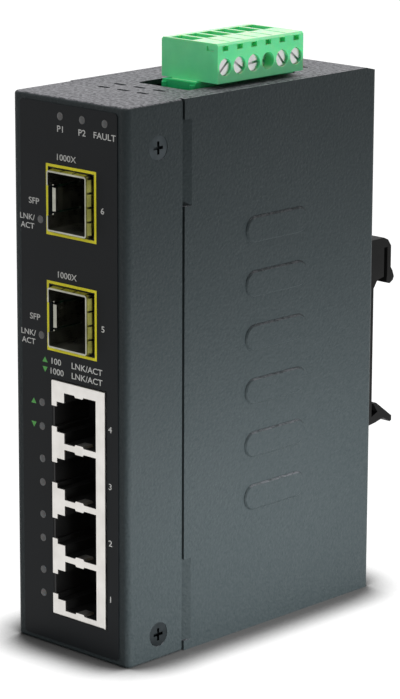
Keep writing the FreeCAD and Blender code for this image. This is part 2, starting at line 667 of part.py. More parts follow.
# ---- rail clip ----------------------------------------------------------------------------------------
def rail_clip():
    """One length of extruded section: base, upper hook with its slot, and lower fin."""
    back = CASE_DEPTH
    block, slot = back + CLIP_BLOCK_DEPTH, back + CLIP_BLOCK_DEPTH + CLIP_SLOT
    strip = slot + CLIP_STRIP
    foot = back + CLIP_FOOT_DEPTH
    fin_tip = back + CLIP_FOOT_DEPTH
    base = back + CLIP_BASE
    mouth = CLIP_HOOK_MOUTH
    outline = [
        (back, CLIP_LOW), (base + 1.6, CLIP_LOW + 0.6), (base + 4.6, CLIP_FIN_TIP),
        (fin_tip - 0.6, CLIP_FIN_TIP - CLIP_FIN_EDGE), (fin_tip, CLIP_FIN_TIP - CLIP_FIN_EDGE + 0.3),
        (fin_tip, CLIP_FIN_TIP), (base + 1.8, CLIP_FIN_ROOT), (base + 0.6, CLIP_FIN_ROOT),
        (base + 2.4, CLIP_FIN_TIP + 2.0), (base, CLIP_FIN_TIP + 1.0),
        (base, mouth - 2.0), (base + 1.4, mouth), (block, mouth + 0.5), (block, CLIP_SLOT_TOP),
        (slot, CLIP_SLOT_TOP), (slot, mouth + 1.0), (slot - 0.3, mouth - 1.2), (slot + 1.0, mouth - 1.6),
        (foot - 0.4, mouth - 0.9), (foot, mouth), (foot - 0.6, mouth + CLIP_FOOT_TALL - 1.0),
        (strip, mouth + CLIP_FOOT_TALL), (strip, CLIP_HIGH - 2.4), (strip - 1.2, CLIP_HIGH - 0.7),
        (block, CLIP_HIGH), (back, CLIP_HIGH)]
    clip = side_prism(outline, -CLIP_WIDTH / 2, CLIP_WIDTH / 2)
    for across, up in CLIP_SCREWS:
        start = (across, base - HEAD_SINK, up)
        tool = countersunk(start, (0, -1, 0), 2 * CLIP_BASE, M3_HEAD + M3_CLEARANCE,
                           M3_SHANK + M3_CLEARANCE)
        clip = clip.cut([tool, rod(M3_HEAD + M3_CLEARANCE, 2 * HEAD_SINK, start, (0, 1, 0))])
    return clip


def clip_screws():
    """The countersunk screws that hold the rail clip on the back."""
    screws = []
    for across, up in CLIP_SCREWS:
        start = (across, CASE_DEPTH + CLIP_BASE - HEAD_SINK, up)
        screw = countersunk(start, (0, -1, 0), CLIP_SCREW_LENGTH, M3_HEAD, M3_SHANK)
        screws.append(screw.cut(cross_recess(start, (0, -1, 0))))
    return Part.makeCompound(screws)


# ---- board --------------------------------------------------------------------------------------------
def header_pin_backs():
    """Depth of each pole of the terminal block, behind the panel."""
    first = PLUG_FRONT + PLUG_END_WALL + POLE_PITCH / 2
    return [first + index * POLE_PITCH for index in range(POLE_COUNT)]


def main_board():
    """The board that carries every port, beside the left wall."""
    board = box(BOARD_REAR_FACE, BOARD_FACE, BOARD_FRONT, BOARD_BACK, BOARD_LOW, BOARD_HIGH)
    tools = [rod(M3_SHANK + M3_CLEARANCE, 3 * BOARD_THICK, (BOARD_FACE + BOARD_THICK, back, up),
                 (-1, 0, 0)) for back, up in board_screw_places()]
    tools += [header_pin(back, PIN_GAP) for back in header_pin_backs()]
    return board.cut(tools)


def board_screws():
    """Pan head screws through the board into the chassis ears."""
    screws = []
    for back, up in board_screw_places():
        shank = rod(M3_SHANK, BOARD_THICK + SHEET + BOARD_SCREW_PAST, (BOARD_FACE, back, up), (-1, 0, 0))
        head = rod(PAN_HEAD, PAN_HEAD_TALL, (BOARD_FACE, back, up), (1, 0, 0))
        rim = [edge for edge in head.Edges if near(edge.CenterOfMass.x, BOARD_FACE + PAN_HEAD_TALL)
               and edge.Closed]
        head = head.makeChamfer(PAN_HEAD_SLOPE, rim)
        recess = cross_recess((BOARD_FACE + PAN_HEAD_TALL, back, up), (-1, 0, 0))
        screws.append(join([shank, head]).cut(recess))
    return Part.makeCompound(screws)


def magnetics():
    """A transformer module behind each jack."""
    return Part.makeCompound([
        box(BOARD_FACE, BOARD_FACE + MAGNETICS_HIGH, MAGNETICS_BACK, MAGNETICS_BACK + MAGNETICS_DEEP,
            middle - MAGNETICS_TALL / 2, middle + MAGNETICS_TALL / 2) for middle in jack_middles()])


def switch_chip():
    """The switch chip under its heat sink."""
    half = CHIP_SIDE / 2
    return box(BOARD_FACE, BOARD_FACE + CHIP_HIGH, CHIP_BACK - half, CHIP_BACK + half,
               CHIP_UP - half, CHIP_UP + half)


def heat_sink():
    """A finned block on the switch chip, its fins upright."""
    half = SINK_SIDE / 2
    foot = BOARD_FACE + CHIP_HIGH
    pieces = [box(foot, foot + SINK_BASE, CHIP_BACK - half, CHIP_BACK + half, CHIP_UP - half,
                  CHIP_UP + half)]
    pitch = (SINK_SIDE - SINK_FIN) / (SINK_FINS - 1)
    for index in range(SINK_FINS):
        back = CHIP_BACK - half + index * pitch
        pieces.append(box(foot + SINK_BASE, foot + SINK_HIGH, back, back + SINK_FIN, CHIP_UP - half,
                          CHIP_UP + half))
    return join(pieces)


def capacitors():
    """Upright can capacitors of the power stage."""
    cans = []
    for back, up in CAP_PLACES:
        can = rod(CAP_RADIUS, CAP_HIGH, (BOARD_FACE, back, up), (1, 0, 0))
        rim = [edge for edge in can.Edges if near(edge.CenterOfMass.x, BOARD_FACE + CAP_HIGH)
               and edge.Closed]
        cans.append(can.makeChamfer(CAP_SLOPE, rim))
    return Part.makeCompound(cans)


def power_coil():
    """The shielded coil of the power stage."""
    half = COIL_SIDE / 2
    return rounded_block(BOARD_FACE, BOARD_FACE + COIL_HIGH, COIL_BACK - half, COIL_BACK + half,
                         COIL_UP - half, COIL_UP + half, COIL_CORNER, "x")


def alarm_relay():
    """The relay behind the two fault contacts of the terminal block."""
    return box(BOARD_FACE, BOARD_FACE + RELAY_HIGH, RELAY_BACK - RELAY_DEEP / 2,
               RELAY_BACK + RELAY_DEEP / 2, RELAY_UP - RELAY_TALL / 2, RELAY_UP + RELAY_TALL / 2)


def crystal_can():
    """The clock crystal in its oval can."""
    return rounded_block(BOARD_FACE, BOARD_FACE + CRYSTAL_HIGH, CRYSTAL_BACK - CRYSTAL_LENGTH / 2,
                         CRYSTAL_BACK + CRYSTAL_LENGTH / 2, CRYSTAL_UP - CRYSTAL_WIDTH / 2,
                         CRYSTAL_UP + CRYSTAL_WIDTH / 2, CRYSTAL_WIDTH / 2 - 0.02, "x")


# ---- indicator lights ---------------------------------------------------------------------------------
def light_guides():
    """A clear rod from each hole in the panel back to its light."""
    return Part.makeCompound([rod(GUIDE_RADIUS, GUIDE_LENGTH, (across, 0, up), (0, 1, 0))
                              for across, up in light_places()])


def indicator_leds():
    """Side-looking lights: one on the board's back for each port light, and a bar of three on top."""
    blocks = []
    low, high = STATUS_LIGHT_UP - LED_TALL / 2, STATUS_LIGHT_UP + LED_TALL / 2
    blocks.append(box(BOARD_FACE, max(STATUS_LIGHTS_ACROSS) + LED_REACH, GUIDE_LENGTH,
                      GUIDE_LENGTH + LED_DEEP, low, min(high, TOP - SHEET - FIT_GAP)))
    for across, up in light_places():
        if across < BOARD_REAR_FACE:
            blocks.append(box(across - LED_REACH, BOARD_REAR_FACE, GUIDE_LENGTH, GUIDE_LENGTH + LED_DEEP,
                              up - LED_TALL / 2, up + LED_TALL / 2))
    return Part.makeCompound(blocks)


# ---- jacks --------------------------------------------------------------------------------------------
def jack_mouth(middle, front, depth, step_depth, floor):
    """The stepped mouth of one jack, as a cutting tool."""
    def level(near_board, far, tall, deep):
        return box(BOARD_FACE + near_board, BOARD_FACE + far, front, front + deep,
                   middle - tall / 2, middle + tall / 2)
    return join([level(JACK_MOUTH_NEAR, JACK_MOUTH_FAR, JACK_MOUTH_TALL, depth),
                 level(JACK_STEP_NEAR, JACK_MOUTH_NEAR + 0.1, JACK_STEP_TALL, step_depth),
                 level(floor, JACK_STEP_NEAR + 0.1, JACK_LATCH_TALL, step_depth)])


def jack_shield():
    """The plated shell over all four jacks, with ground bumps on its bars."""
    low, high = jack_gang_ends()
    x0, x1 = BOARD_FACE, BOARD_FACE + JACK_HEIGHT
    front, back = -JACK_PROUD, JACK_DEPTH - JACK_PROUD
    shell = box(x0, x1, front, back, low, high)
    rim = [edge for edge in shell.Edges
           if all(near(v.Y, front) for v in edge.Vertexes) and not near(edge.CenterOfMass.x, x0)]
    shell = shell.makeFillet(SHIELD_EDGE, rim)
    hollow = box(x0 - 1, x1 - SHIELD, front + SHIELD, back - SHIELD, low + SHIELD, high - SHIELD)
    mouths = [jack_mouth(middle, front - 1, 3, 3, -1) for middle in jack_middles()]
    shell = shell.cut([hollow] + mouths)
    bumps = []
    half = (GROUND_BUMP_TO - GROUND_BUMP_FROM) / 2
    across = BOARD_FACE + (GROUND_BUMP_FROM + GROUND_BUMP_TO) / 2
    crest = half - GROUND_BUMP_SLOPE
    for middle in jack_middles():
        for side in (-1, 1):
            edge = middle + side * JACK_MOUTH_TALL / 2
            root, top = edge + side * SHIELD, edge - side * GROUND_BUMP_RISE
            bumps.append(front_prism([(across - half, root), (across - half, edge), (across - crest, top),
                                      (across + crest, top), (across + half, edge), (across + half, root)],
                                     front, front + GROUND_BUMP_DEPTH))
    return join([shell] + bumps)


def jack_housing():
    """The moulded insert that forms all four mouths inside the shield."""
    low, high = jack_gang_ends()
    wall = SHIELD + HOUSING_GAP
    front = -JACK_PROUD + wall
    block = box(BOARD_FACE, BOARD_FACE + JACK_HEIGHT - wall, front, JACK_DEPTH - JACK_PROUD - wall,
                low + wall, high - wall)
    mouths = [jack_mouth(middle, front - 1, JACK_CAVITY + 1, JACK_STEP_DEPTH + 1, JACK_FLOOR)
              for middle in jack_middles()]
    bump_room = []
    room = GROUND_BUMP_RISE + SHIELD + HOUSING_GAP
    for middle in jack_middles():
        bump_room.append(box(BOARD_FACE + GROUND_BUMP_FROM - 0.1, BOARD_FACE + GROUND_BUMP_TO + 0.1,
                             front - 1, -JACK_PROUD + GROUND_BUMP_DEPTH + HOUSING_GAP,
                             middle - JACK_MOUTH_TALL / 2 - room, middle + JACK_MOUTH_TALL / 2 + room))
    return block.cut(mouths + bump_room)


def jack_contacts():
    """The sloping spring wires on the side of each mouth away from the latch."""
    root = BOARD_FACE + JACK_MOUTH_FAR
    start = -JACK_PROUD + CONTACT_START
    end = start + CONTACT_RUN
    outline = [(root, start), (root, start + 1.0), (root - CONTACT_DROP, end),
               (root - CONTACT_DROP - CONTACT_WIRE, end), (root - CONTACT_WIRE, start)]
    wires = []
    for middle in jack_middles():
        for index in range(CONTACTS_PER_JACK):
            up = middle + (index - (CONTACTS_PER_JACK - 1) / 2) * CONTACT_PITCH
            wires.append(plan_prism(outline, up - CONTACT_WIRE / 2, up + CONTACT_WIRE / 2))
    return Part.makeCompound(wires)


# ---- transceiver cages --------------------------------------------------------------------------------
def transceiver_cage(middle):
    """One folded cage: open mouth, latch tongue on the board side, open floor at the connector."""
    x0, x1 = BOARD_FACE, BOARD_FACE + CAGE_HEIGHT
    z0, z1 = middle - CAGE_TALL / 2, middle + CAGE_TALL / 2
    front, back = -CAGE_PROUD, CAGE_LENGTH - CAGE_PROUD
    shell = rounded_block(x0, x1, front, back, z0, z1, CAGE_CORNER, "y")
    hollow = rounded_block(x0 + CAGE_SHEET, x1 - CAGE_SHEET, front - 1, back - CAGE_SHEET,
                           z0 + CAGE_SHEET, z1 - CAGE_SHEET, CAGE_CORNER - CAGE_SHEET, "y")
    notch = box(x0 - 1, x0 + 2 * CAGE_SHEET, front - 1, 0, middle - CAGE_NOTCH_TALL / 2,
                middle + CAGE_NOTCH_TALL / 2)
    connector_floor = box(x0 - 1, x0 + 2 * CAGE_SHEET,
                          back - PORT_CONNECTOR_DEPTH - 2 * PORT_CONNECTOR_SETBACK,
                          back - CAGE_SHEET, z0 + 2 * CAGE_SHEET, z1 - 2 * CAGE_SHEET)
    slots = []
    for side in (-1, 1):
        edge = middle + side * TONGUE_TALL / 2
        slots.append(box(x0 - 1, x0 + 2 * CAGE_SHEET, -1, TONGUE_DEPTH, edge - 0.25, edge + 0.25))
    tongue = plan_prism([(x0 + CAGE_SHEET, 3.0), (x0 + CAGE_SHEET + TONGUE_RISE, 0.9),
                         (x0 + CAGE_SHEET + TONGUE_RISE, 0.1), (x0 + CAGE_SHEET, 0.0)],
                        middle - TONGUE_TALL / 2 + 0.3, middle + TONGUE_TALL / 2 - 0.3)
    return join([shell.cut([hollow, notch, connector_floor] + slots), tongue])


def finger_profile():
    """Section of a spring finger: depth along the cage, and rise from the cage's face."""
    inside = FINGER_RISE - FINGER_SHEET
    return [(FINGER_FRONT, 0), (FINGER_FRONT, FINGER_SHEET), (FINGER_CREST_FRONT, FINGER_RISE),
            (FINGER_CREST_BACK, FINGER_RISE), (FINGER_BACK, FINGER_SHEET), (FINGER_BACK, 0),
            (FINGER_BACK - 0.6, 0), (FINGER_CREST_BACK, inside), (FINGER_CREST_FRONT, inside),
            (FINGER_FRONT + 0.4, 0)]


def spring_collar(middle):
    """The band of spring fingers that grounds one cage to the panel."""
    x0, x1 = BOARD_FACE, BOARD_FACE + CAGE_HEIGHT
    z0, z1 = middle - CAGE_TALL / 2, middle + CAGE_TALL / 2
    band_front, band_back = FINGER_BACK - 0.4, FINGER_BACK - 0.4 + COLLAR_BAND
    inset = CAGE_CORNER
    pieces = [box(x1, x1 + FINGER_SHEET, band_front, band_back, z0 + inset, z1 - inset)]
    corner = FINGER_SHEET
    for side, edge in ((-1, z0), (1, z1)):
        b0, b1 = sorted((edge, edge + side * FINGER_SHEET))
        pieces.append(box(x0 + inset, x1 - inset, band_front, band_back, b0, b1))
        c0, c1 = sorted((edge + side * corner, edge - side * inset))
        block = box(x1 - inset, x1 + corner, band_front, band_back, c0, c1)
        hollow = box(x1 - inset - 1, x1, band_front - 1, band_back + 1,
                     *sorted((edge, edge - side * (inset + 1))))
        pieces.append(block.cut(hollow))
    pitch = (CAGE_TALL - 2 * inset + FINGER_SLOT) / FINGER_COUNT_SIDE
    for index in range(FINGER_COUNT_SIDE):
        low = z0 + inset + index * pitch
        outline = [(x1 + rise, y) for y, rise in finger_profile()]
        pieces.append(plan_prism(outline, low, low + pitch - FINGER_SLOT))
    pitch = (CAGE_HEIGHT - 2 * inset + FINGER_SLOT) / FINGER_COUNT_END
    for side, edge in ((-1, z0), (1, z1)):
        clearance = 0.5
        outline = [(y, edge + side * rise * clearance) for y, rise in finger_profile()]
        for index in range(FINGER_COUNT_END):
            low = x0 + inset + index * pitch
            pieces.append(side_prism(outline, low, low + pitch - FINGER_SLOT))
    return join(pieces)


def port_connectors():
    """The slotted connector at the back of each cage."""
    blocks = []
    back = CAGE_LENGTH - CAGE_PROUD - PORT_CONNECTOR_SETBACK
    front = back - PORT_CONNECTOR_DEPTH
    half = CAGE_TALL / 2 - 2 * CAGE_SHEET - FIT_GAP
    for middle in CAGE_MIDDLES:
        block = box(BOARD_FACE, BOARD_FACE + PORT_CONNECTOR_HEIGHT, front, back,
                    middle - half, middle + half)
        across = BOARD_FACE + CARD_SLOT_ACROSS
        slot = box(across - CARD_SLOT / 2, across + CARD_SLOT / 2, front - 1, front + CARD_SLOT_DEPTH,
                   middle - CARD_SLOT_TALL / 2, middle + CARD_SLOT_TALL / 2)
        blocks.append(block.cut(slot))
    return Part.makeCompound(blocks)


# ---- terminal block -----------------------------------------------------------------------------------
def header_pin(back, gap):
    """One pin: up into the header, and across through its foot and the board."""
    half = HEADER_PIN / 2 + gap
    low = HEADER_LOW + HEADER_FLOOR / 2
    upright = box(HEADER_MIDDLE - half, HEADER_MIDDLE + half, back - half, back + half,
                  low - half, HEADER_HIGH - HEADER_PIN_TOP_GAP + gap)
    across = box(BOARD_REAR_FACE - PIN_TAIL, HEADER_MIDDLE + half, back - half, back + half,
                 low - half, low + half)
    return join([upright, across])


def header_pins():
    """All six pins of the header."""
    return Part.makeCompound([header_pin(back, 0) for back in header_pin_backs()])


def header_body():
    """The fixed half of the terminal block: a trough on a foot against the board."""
    trough = box(HEADER_LEFT, HEADER_RIGHT, HEADER_FRONT, HEADER_BACK, HEADER_LOW, HEADER_HIGH)
    cavity = box(HEADER_LEFT + HEADER_WALL, HEADER_RIGHT - HEADER_WALL, HEADER_FRONT + HEADER_WALL,
                 HEADER_BACK - HEADER_WALL, HEADER_LOW + HEADER_FLOOR, HEADER_HIGH + 1)
    foot = box(BOARD_FACE, HEADER_LEFT + 0.1, HEADER_FRONT, HEADER_BACK, HEADER_LOW,
               HEADER_LOW + HEADER_FOOT_TALL)
    ribs = []
    for across in (HEADER_LEFT + HEADER_RIB, HEADER_RIGHT - HEADER_RIB):
        for back in (HEADER_FRONT, HEADER_BACK):
            ribs.append(rod(HEADER_RIB, HEADER_TALL - HEADER_RIB_SHORT, (across, back, HEADER_LOW), (0, 0, 1)))
    body = join([trough, foot] + ribs)
    return body.cut([cavity] + [header_pin(back, PIN_GAP) for back in header_pin_backs()])


def chamber(back):
    """The room of one pole inside the plug, with its wire mouth and screw bore, as cutting tools."""
    y0, y1 = back - CHAMBER_WIDE / 2, back + CHAMBER_WIDE / 2
    floor = PLUG_LOW + CHAMBER_LOW
    room = box(PLUG_LEFT + CHAMBER_NEAR, PLUG_LEFT + CHAMBER_FAR, y0, y1, floor,
               SCREW_AXIS_UP + CLAMP_TALL / 2 + CLAMP_GAP)
    mouth = box(PLUG_LEFT + CHAMBER_NEAR, PLUG_LEFT + FUNNEL_FAR, y0, y1, floor, PLUG_HIGH + 1)
    flare = box(PLUG_LEFT + CHAMBER_NEAR - FUNNEL_FLARE, PLUG_LEFT + FUNNEL_FAR + FUNNEL_FLARE, y0, y1,
                PLUG_HIGH - FUNNEL_DEEP, PLUG_HIGH + PAST)
    bore = rod(SCREW_BORE, PLUG_WIDTH - CHAMBER_FAR + 2 * PAST, (PLUG_RIGHT + PAST, back, SCREW_AXIS_UP),
               (-1, 0, 0))
    return [room, mouth, flare, bore]


def contact_strip(back, gap):
    """One contact: a bar through the clamp, and below it a square socket round the header's pin."""
    half = BAR_WIDE / 2 + gap
    x0 = PLUG_LEFT + BAR_NEAR - gap
    bar = box(x0, x0 + BAR_THICK + 2 * gap, back - half, back + half,
              PLUG_LOW - BAR_BELOW, SCREW_AXIS_UP + CLAMP_TALL / 2 + gap)
    outside = SOCKET_OUTSIDE / 2 + gap
    low = HEADER_LOW + HEADER_FLOOR + MATING_FLOOR_GAP + SOCKET_UP
    socket = box(HEADER_MIDDLE - outside, HEADER_MIDDLE + outside, back - outside, back + outside,
                 low, low + SOCKET_TALL)
    link = box(HEADER_MIDDLE - outside, x0 + BAR_THICK + 2 * gap, back - half, back + half,
               low + SOCKET_TALL - SOCKET_STEP, PLUG_LOW - PLUG_SEAT)
    return join([bar, socket, link])


def plug_contacts():
    """The six contacts, each with a square bore for its pin."""
    strips = []
    for back in header_pin_backs():
        half = HEADER_PIN / 2 + SOCKET_GAP
        bore = box(HEADER_MIDDLE - half, HEADER_MIDDLE + half, back - half, back + half,
                   HEADER_LOW, HEADER_HIGH - HEADER_PIN_TOP_GAP + BORE_PAST_PIN)
        strips.append(contact_strip(back, 0).cut(bore))
    return Part.makeCompound(strips)


def plug_body():
    """The pull-off half: screws on its right, wire mouths on top, tongue down into the header."""
    y0, y1 = PLUG_FRONT, PLUG_FRONT + PLUG_LENGTH
    head = box(PLUG_LEFT, PLUG_RIGHT, y0, y1, PLUG_LOW, PLUG_HIGH)
    upper = [edge for edge in head.Edges
             if near(edge.CenterOfMass.z, PLUG_HIGH) and (near(edge.CenterOfMass.x, PLUG_LEFT)
                                                          or near(edge.CenterOfMass.x, PLUG_RIGHT))]
    head = head.makeChamfer(PLUG_CORNER, upper)
    gap = HEADER_WALL + MATING_GAP
    tongue = box(HEADER_LEFT + gap, HEADER_RIGHT - gap, HEADER_FRONT + gap, HEADER_BACK - gap,
                 HEADER_LOW + HEADER_FLOOR + MATING_FLOOR_GAP, PLUG_LOW - PLUG_SEAT / 2)
    neck = box(HEADER_LEFT + gap, HEADER_RIGHT - gap, y0, y1, PLUG_LOW - PLUG_SEAT, PLUG_LOW + MATING_GAP)
    body = join([head, neck, tongue])
    tools = []
    for index, back in enumerate(header_pin_backs()):
        tools += chamber(back)
        tools.append(contact_strip(back, PIN_GAP))
        half = HEADER_PIN / 2 + PIN_ROOM
        tools.append(box(HEADER_MIDDLE - half, HEADER_MIDDLE + half, back - half, back + half,
                         HEADER_LOW, HEADER_HIGH - HEADER_PIN_TOP_GAP))
        tools.append(box(PLUG_RIGHT - TEST_SLOT_DEPTH, PLUG_RIGHT + 1, back - TEST_SLOT_WIDE / 2,
                         back + TEST_SLOT_WIDE / 2, PLUG_LOW + TEST_SLOT_UP - TEST_SLOT_TALL / 2,
                         PLUG_LOW + TEST_SLOT_UP + TEST_SLOT_TALL / 2))
        if index:
            edge = back - POLE_PITCH / 2
            tools.append(box(PLUG_LEFT + GROOVE_START, PLUG_RIGHT - GROOVE_END, edge - RIB_GROOVE / 2,
                             edge + RIB_GROOVE / 2, PLUG_HIGH - RIB_GROOVE, PLUG_HIGH + PAST))
    for right, high in LATCH_LINES:
        tools.append(box(PLUG_RIGHT - LATCH_LEFT, PLUG_RIGHT - right, y0 - PAST, y0 + LATCH_NOTCH,
                         PLUG_HIGH - LATCH_LOW, PLUG_HIGH - high))
    return body.cut(tools)


def terminal_screw(index):
    """One terminal screw: slotted head, shank through its clamp to the contact bar."""
    back = header_pin_backs()[index]
    outer = PLUG_RIGHT - SCREW_SINKS[index]
    tip = PLUG_LEFT + BAR_NEAR + BAR_THICK + FIT_GAP
    head = rod(SCREW_HEAD, SCREW_HEAD_TALL, (outer, back, SCREW_AXIS_UP), (-1, 0, 0))
    shank = rod(SCREW_SHANK, outer - SCREW_HEAD_TALL - tip, (tip, back, SCREW_AXIS_UP), (1, 0, 0))
    slot = box(outer - SCREW_SLOT_DEPTH, outer + 1, back - SCREW_HEAD - 1, back + SCREW_HEAD + 1,
               SCREW_AXIS_UP - SCREW_SLOT / 2, SCREW_AXIS_UP + SCREW_SLOT / 2)
    slot.rotate(Vector(outer, back, SCREW_AXIS_UP), Vector(1, 0, 0), SCREW_SLOT_TURNS[index])
    return join([head, shank]).cut(slot)


def wire_clamp(index):
    """One clamp frame: it slides towards the screw's head and pulls the wire against the bar."""
    back = header_pin_backs()[index]
    half = CHAMBER_WIDE / 2 - CLAMP_GAP
    x0 = PLUG_LEFT + CLAMP_NEAR
    x1 = x0 + CLAMP_LENGTH
    frame = box(x0, x1, back - half, back + half, CLAMP_LOW, CLAMP_LOW + CLAMP_TALL)
    window = box(x0 + CLAMP_FOOT_WALL, x1 - CLAMP_HEAD_WALL, back - half + CLAMP_SIDE,
                 back + half - CLAMP_SIDE, CLAMP_LOW - 1, CLAMP_LOW + CLAMP_TALL + 1)
    thread = rod(SCREW_SHANK + 0.05, CLAMP_LENGTH, (x1 + 1, back, SCREW_AXIS_UP), (-1, 0, 0))
    keep_foot = box(x0, x0 + CLAMP_FOOT_WALL, back - half, back + half, CLAMP_LOW,
                    CLAMP_LOW + CLAMP_TALL)
    return join([frame.cut([window, thread]), keep_foot])


def write(name, shape):
    """Moves a shape to the part's own origin and writes it as one STEP file."""
    placed = shape.copy()
    placed.translate(Vector(0, PANEL_Y, 0))
    placed.exportStep(os.path.join("parts", name + ".step"))


def main():
    """Builds and writes every piece."""
    os.makedirs("parts", exist_ok=True)
    write("front_chassis", front_chassis())
    write("wrap_cover", wrap_cover())
    write("case_nuts", case_nuts())
    write("case_screws", case_screws())
    write("front_film", front_film())
    write("rail_clip", rail_clip())
    write("clip_screws", clip_screws())
    write("main_board", main_board())
    write("board_screws", board_screws())
    write("port_magnetics", magnetics())
    write("switch_chip", switch_chip())
    write("heat_sink", heat_sink())
    write("power_capacitors", capacitors())
    write("power_coil", power_coil())
    write("alarm_relay", alarm_relay())
    write("clock_crystal", crystal_can())
    write("light_guides", light_guides())
    write("indicator_leds", indicator_leds())
    write("jack_shield", jack_shield())
    write("jack_housing", jack_housing())
    write("jack_contacts", jack_contacts())
    for name, middle in zip(("lower", "upper"), CAGE_MIDDLES):
        write(name + "_cage", transceiver_cage(middle))
        write(name + "_cage_springs", spring_collar(middle))
    write("cage_connectors", port_connectors())
    write("terminal_header", header_body())
    write("header_pins", header_pins())
    write("terminal_plug", plug_body())
    write("plug_contacts", plug_contacts())
    for index in range(POLE_COUNT):
        write("terminal_screw_%d" % (index + 1), terminal_screw(index))
        write("wire_clamp_%d" % (index + 1), wire_clamp(index))


main()
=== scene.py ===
"""Din rail ethernet switch: finishes, panel printing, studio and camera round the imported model.

Lengths in the classes are millimetres in the part's own frame: +X to the right of the front
panel, -Y out of it, +Z up. What is handed to Blender is in metres.
"""

import json
import logging
import math
from collections.abc import Iterable
from dataclasses import dataclass, field
from enum import Enum

import bmesh
import bpy
from mathutils import Matrix, Vector

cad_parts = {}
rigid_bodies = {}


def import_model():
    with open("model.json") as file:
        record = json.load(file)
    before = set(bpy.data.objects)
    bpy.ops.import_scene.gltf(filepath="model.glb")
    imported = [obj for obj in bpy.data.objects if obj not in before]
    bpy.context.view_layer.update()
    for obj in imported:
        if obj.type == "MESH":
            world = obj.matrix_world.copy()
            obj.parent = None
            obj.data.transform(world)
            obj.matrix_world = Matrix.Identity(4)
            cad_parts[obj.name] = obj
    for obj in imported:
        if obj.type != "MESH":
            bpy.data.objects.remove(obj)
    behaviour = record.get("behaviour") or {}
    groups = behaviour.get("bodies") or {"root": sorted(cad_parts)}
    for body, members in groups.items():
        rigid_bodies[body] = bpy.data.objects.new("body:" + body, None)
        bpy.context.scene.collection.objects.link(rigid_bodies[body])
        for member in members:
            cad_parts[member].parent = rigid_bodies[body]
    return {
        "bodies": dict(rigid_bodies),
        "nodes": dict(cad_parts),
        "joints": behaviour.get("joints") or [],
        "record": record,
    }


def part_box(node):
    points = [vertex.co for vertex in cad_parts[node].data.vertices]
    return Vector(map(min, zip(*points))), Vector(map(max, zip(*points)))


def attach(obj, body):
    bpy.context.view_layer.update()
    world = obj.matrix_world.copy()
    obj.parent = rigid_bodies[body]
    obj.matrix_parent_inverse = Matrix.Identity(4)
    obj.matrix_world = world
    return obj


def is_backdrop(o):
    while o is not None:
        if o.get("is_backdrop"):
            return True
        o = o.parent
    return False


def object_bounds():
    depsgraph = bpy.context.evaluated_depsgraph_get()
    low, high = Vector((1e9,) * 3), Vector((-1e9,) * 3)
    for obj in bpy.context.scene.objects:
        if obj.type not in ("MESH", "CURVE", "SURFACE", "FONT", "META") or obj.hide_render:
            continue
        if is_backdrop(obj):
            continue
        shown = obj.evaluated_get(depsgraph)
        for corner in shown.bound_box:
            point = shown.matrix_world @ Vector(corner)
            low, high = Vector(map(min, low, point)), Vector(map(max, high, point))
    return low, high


LOG = logging.getLogger("switch")
MM = 0.001
CASE_BODY = "case"
WHITE = (1, 1, 1, 1)
STAND_UP = Matrix.Rotation(math.radians(90), 4, "X")    # makes a level shape face out of the front

Colour = tuple[float, float, float]
Point = tuple[float, float, float]
Range = tuple[float, float]
Run = tuple[float, float, float]

WHOLE: Range = (0.0, 1.0)
PATTERN_RANGE: Range = (0.3, 0.7)       # between these lie most values of a noise pattern
LEVEL_RANGE: Range = (0.55, 0.97)       # how far a face looks up where it starts to count as level


def grey(level: float) -> Colour:
    """A neutral colour of one level."""
    return (level, level, level)


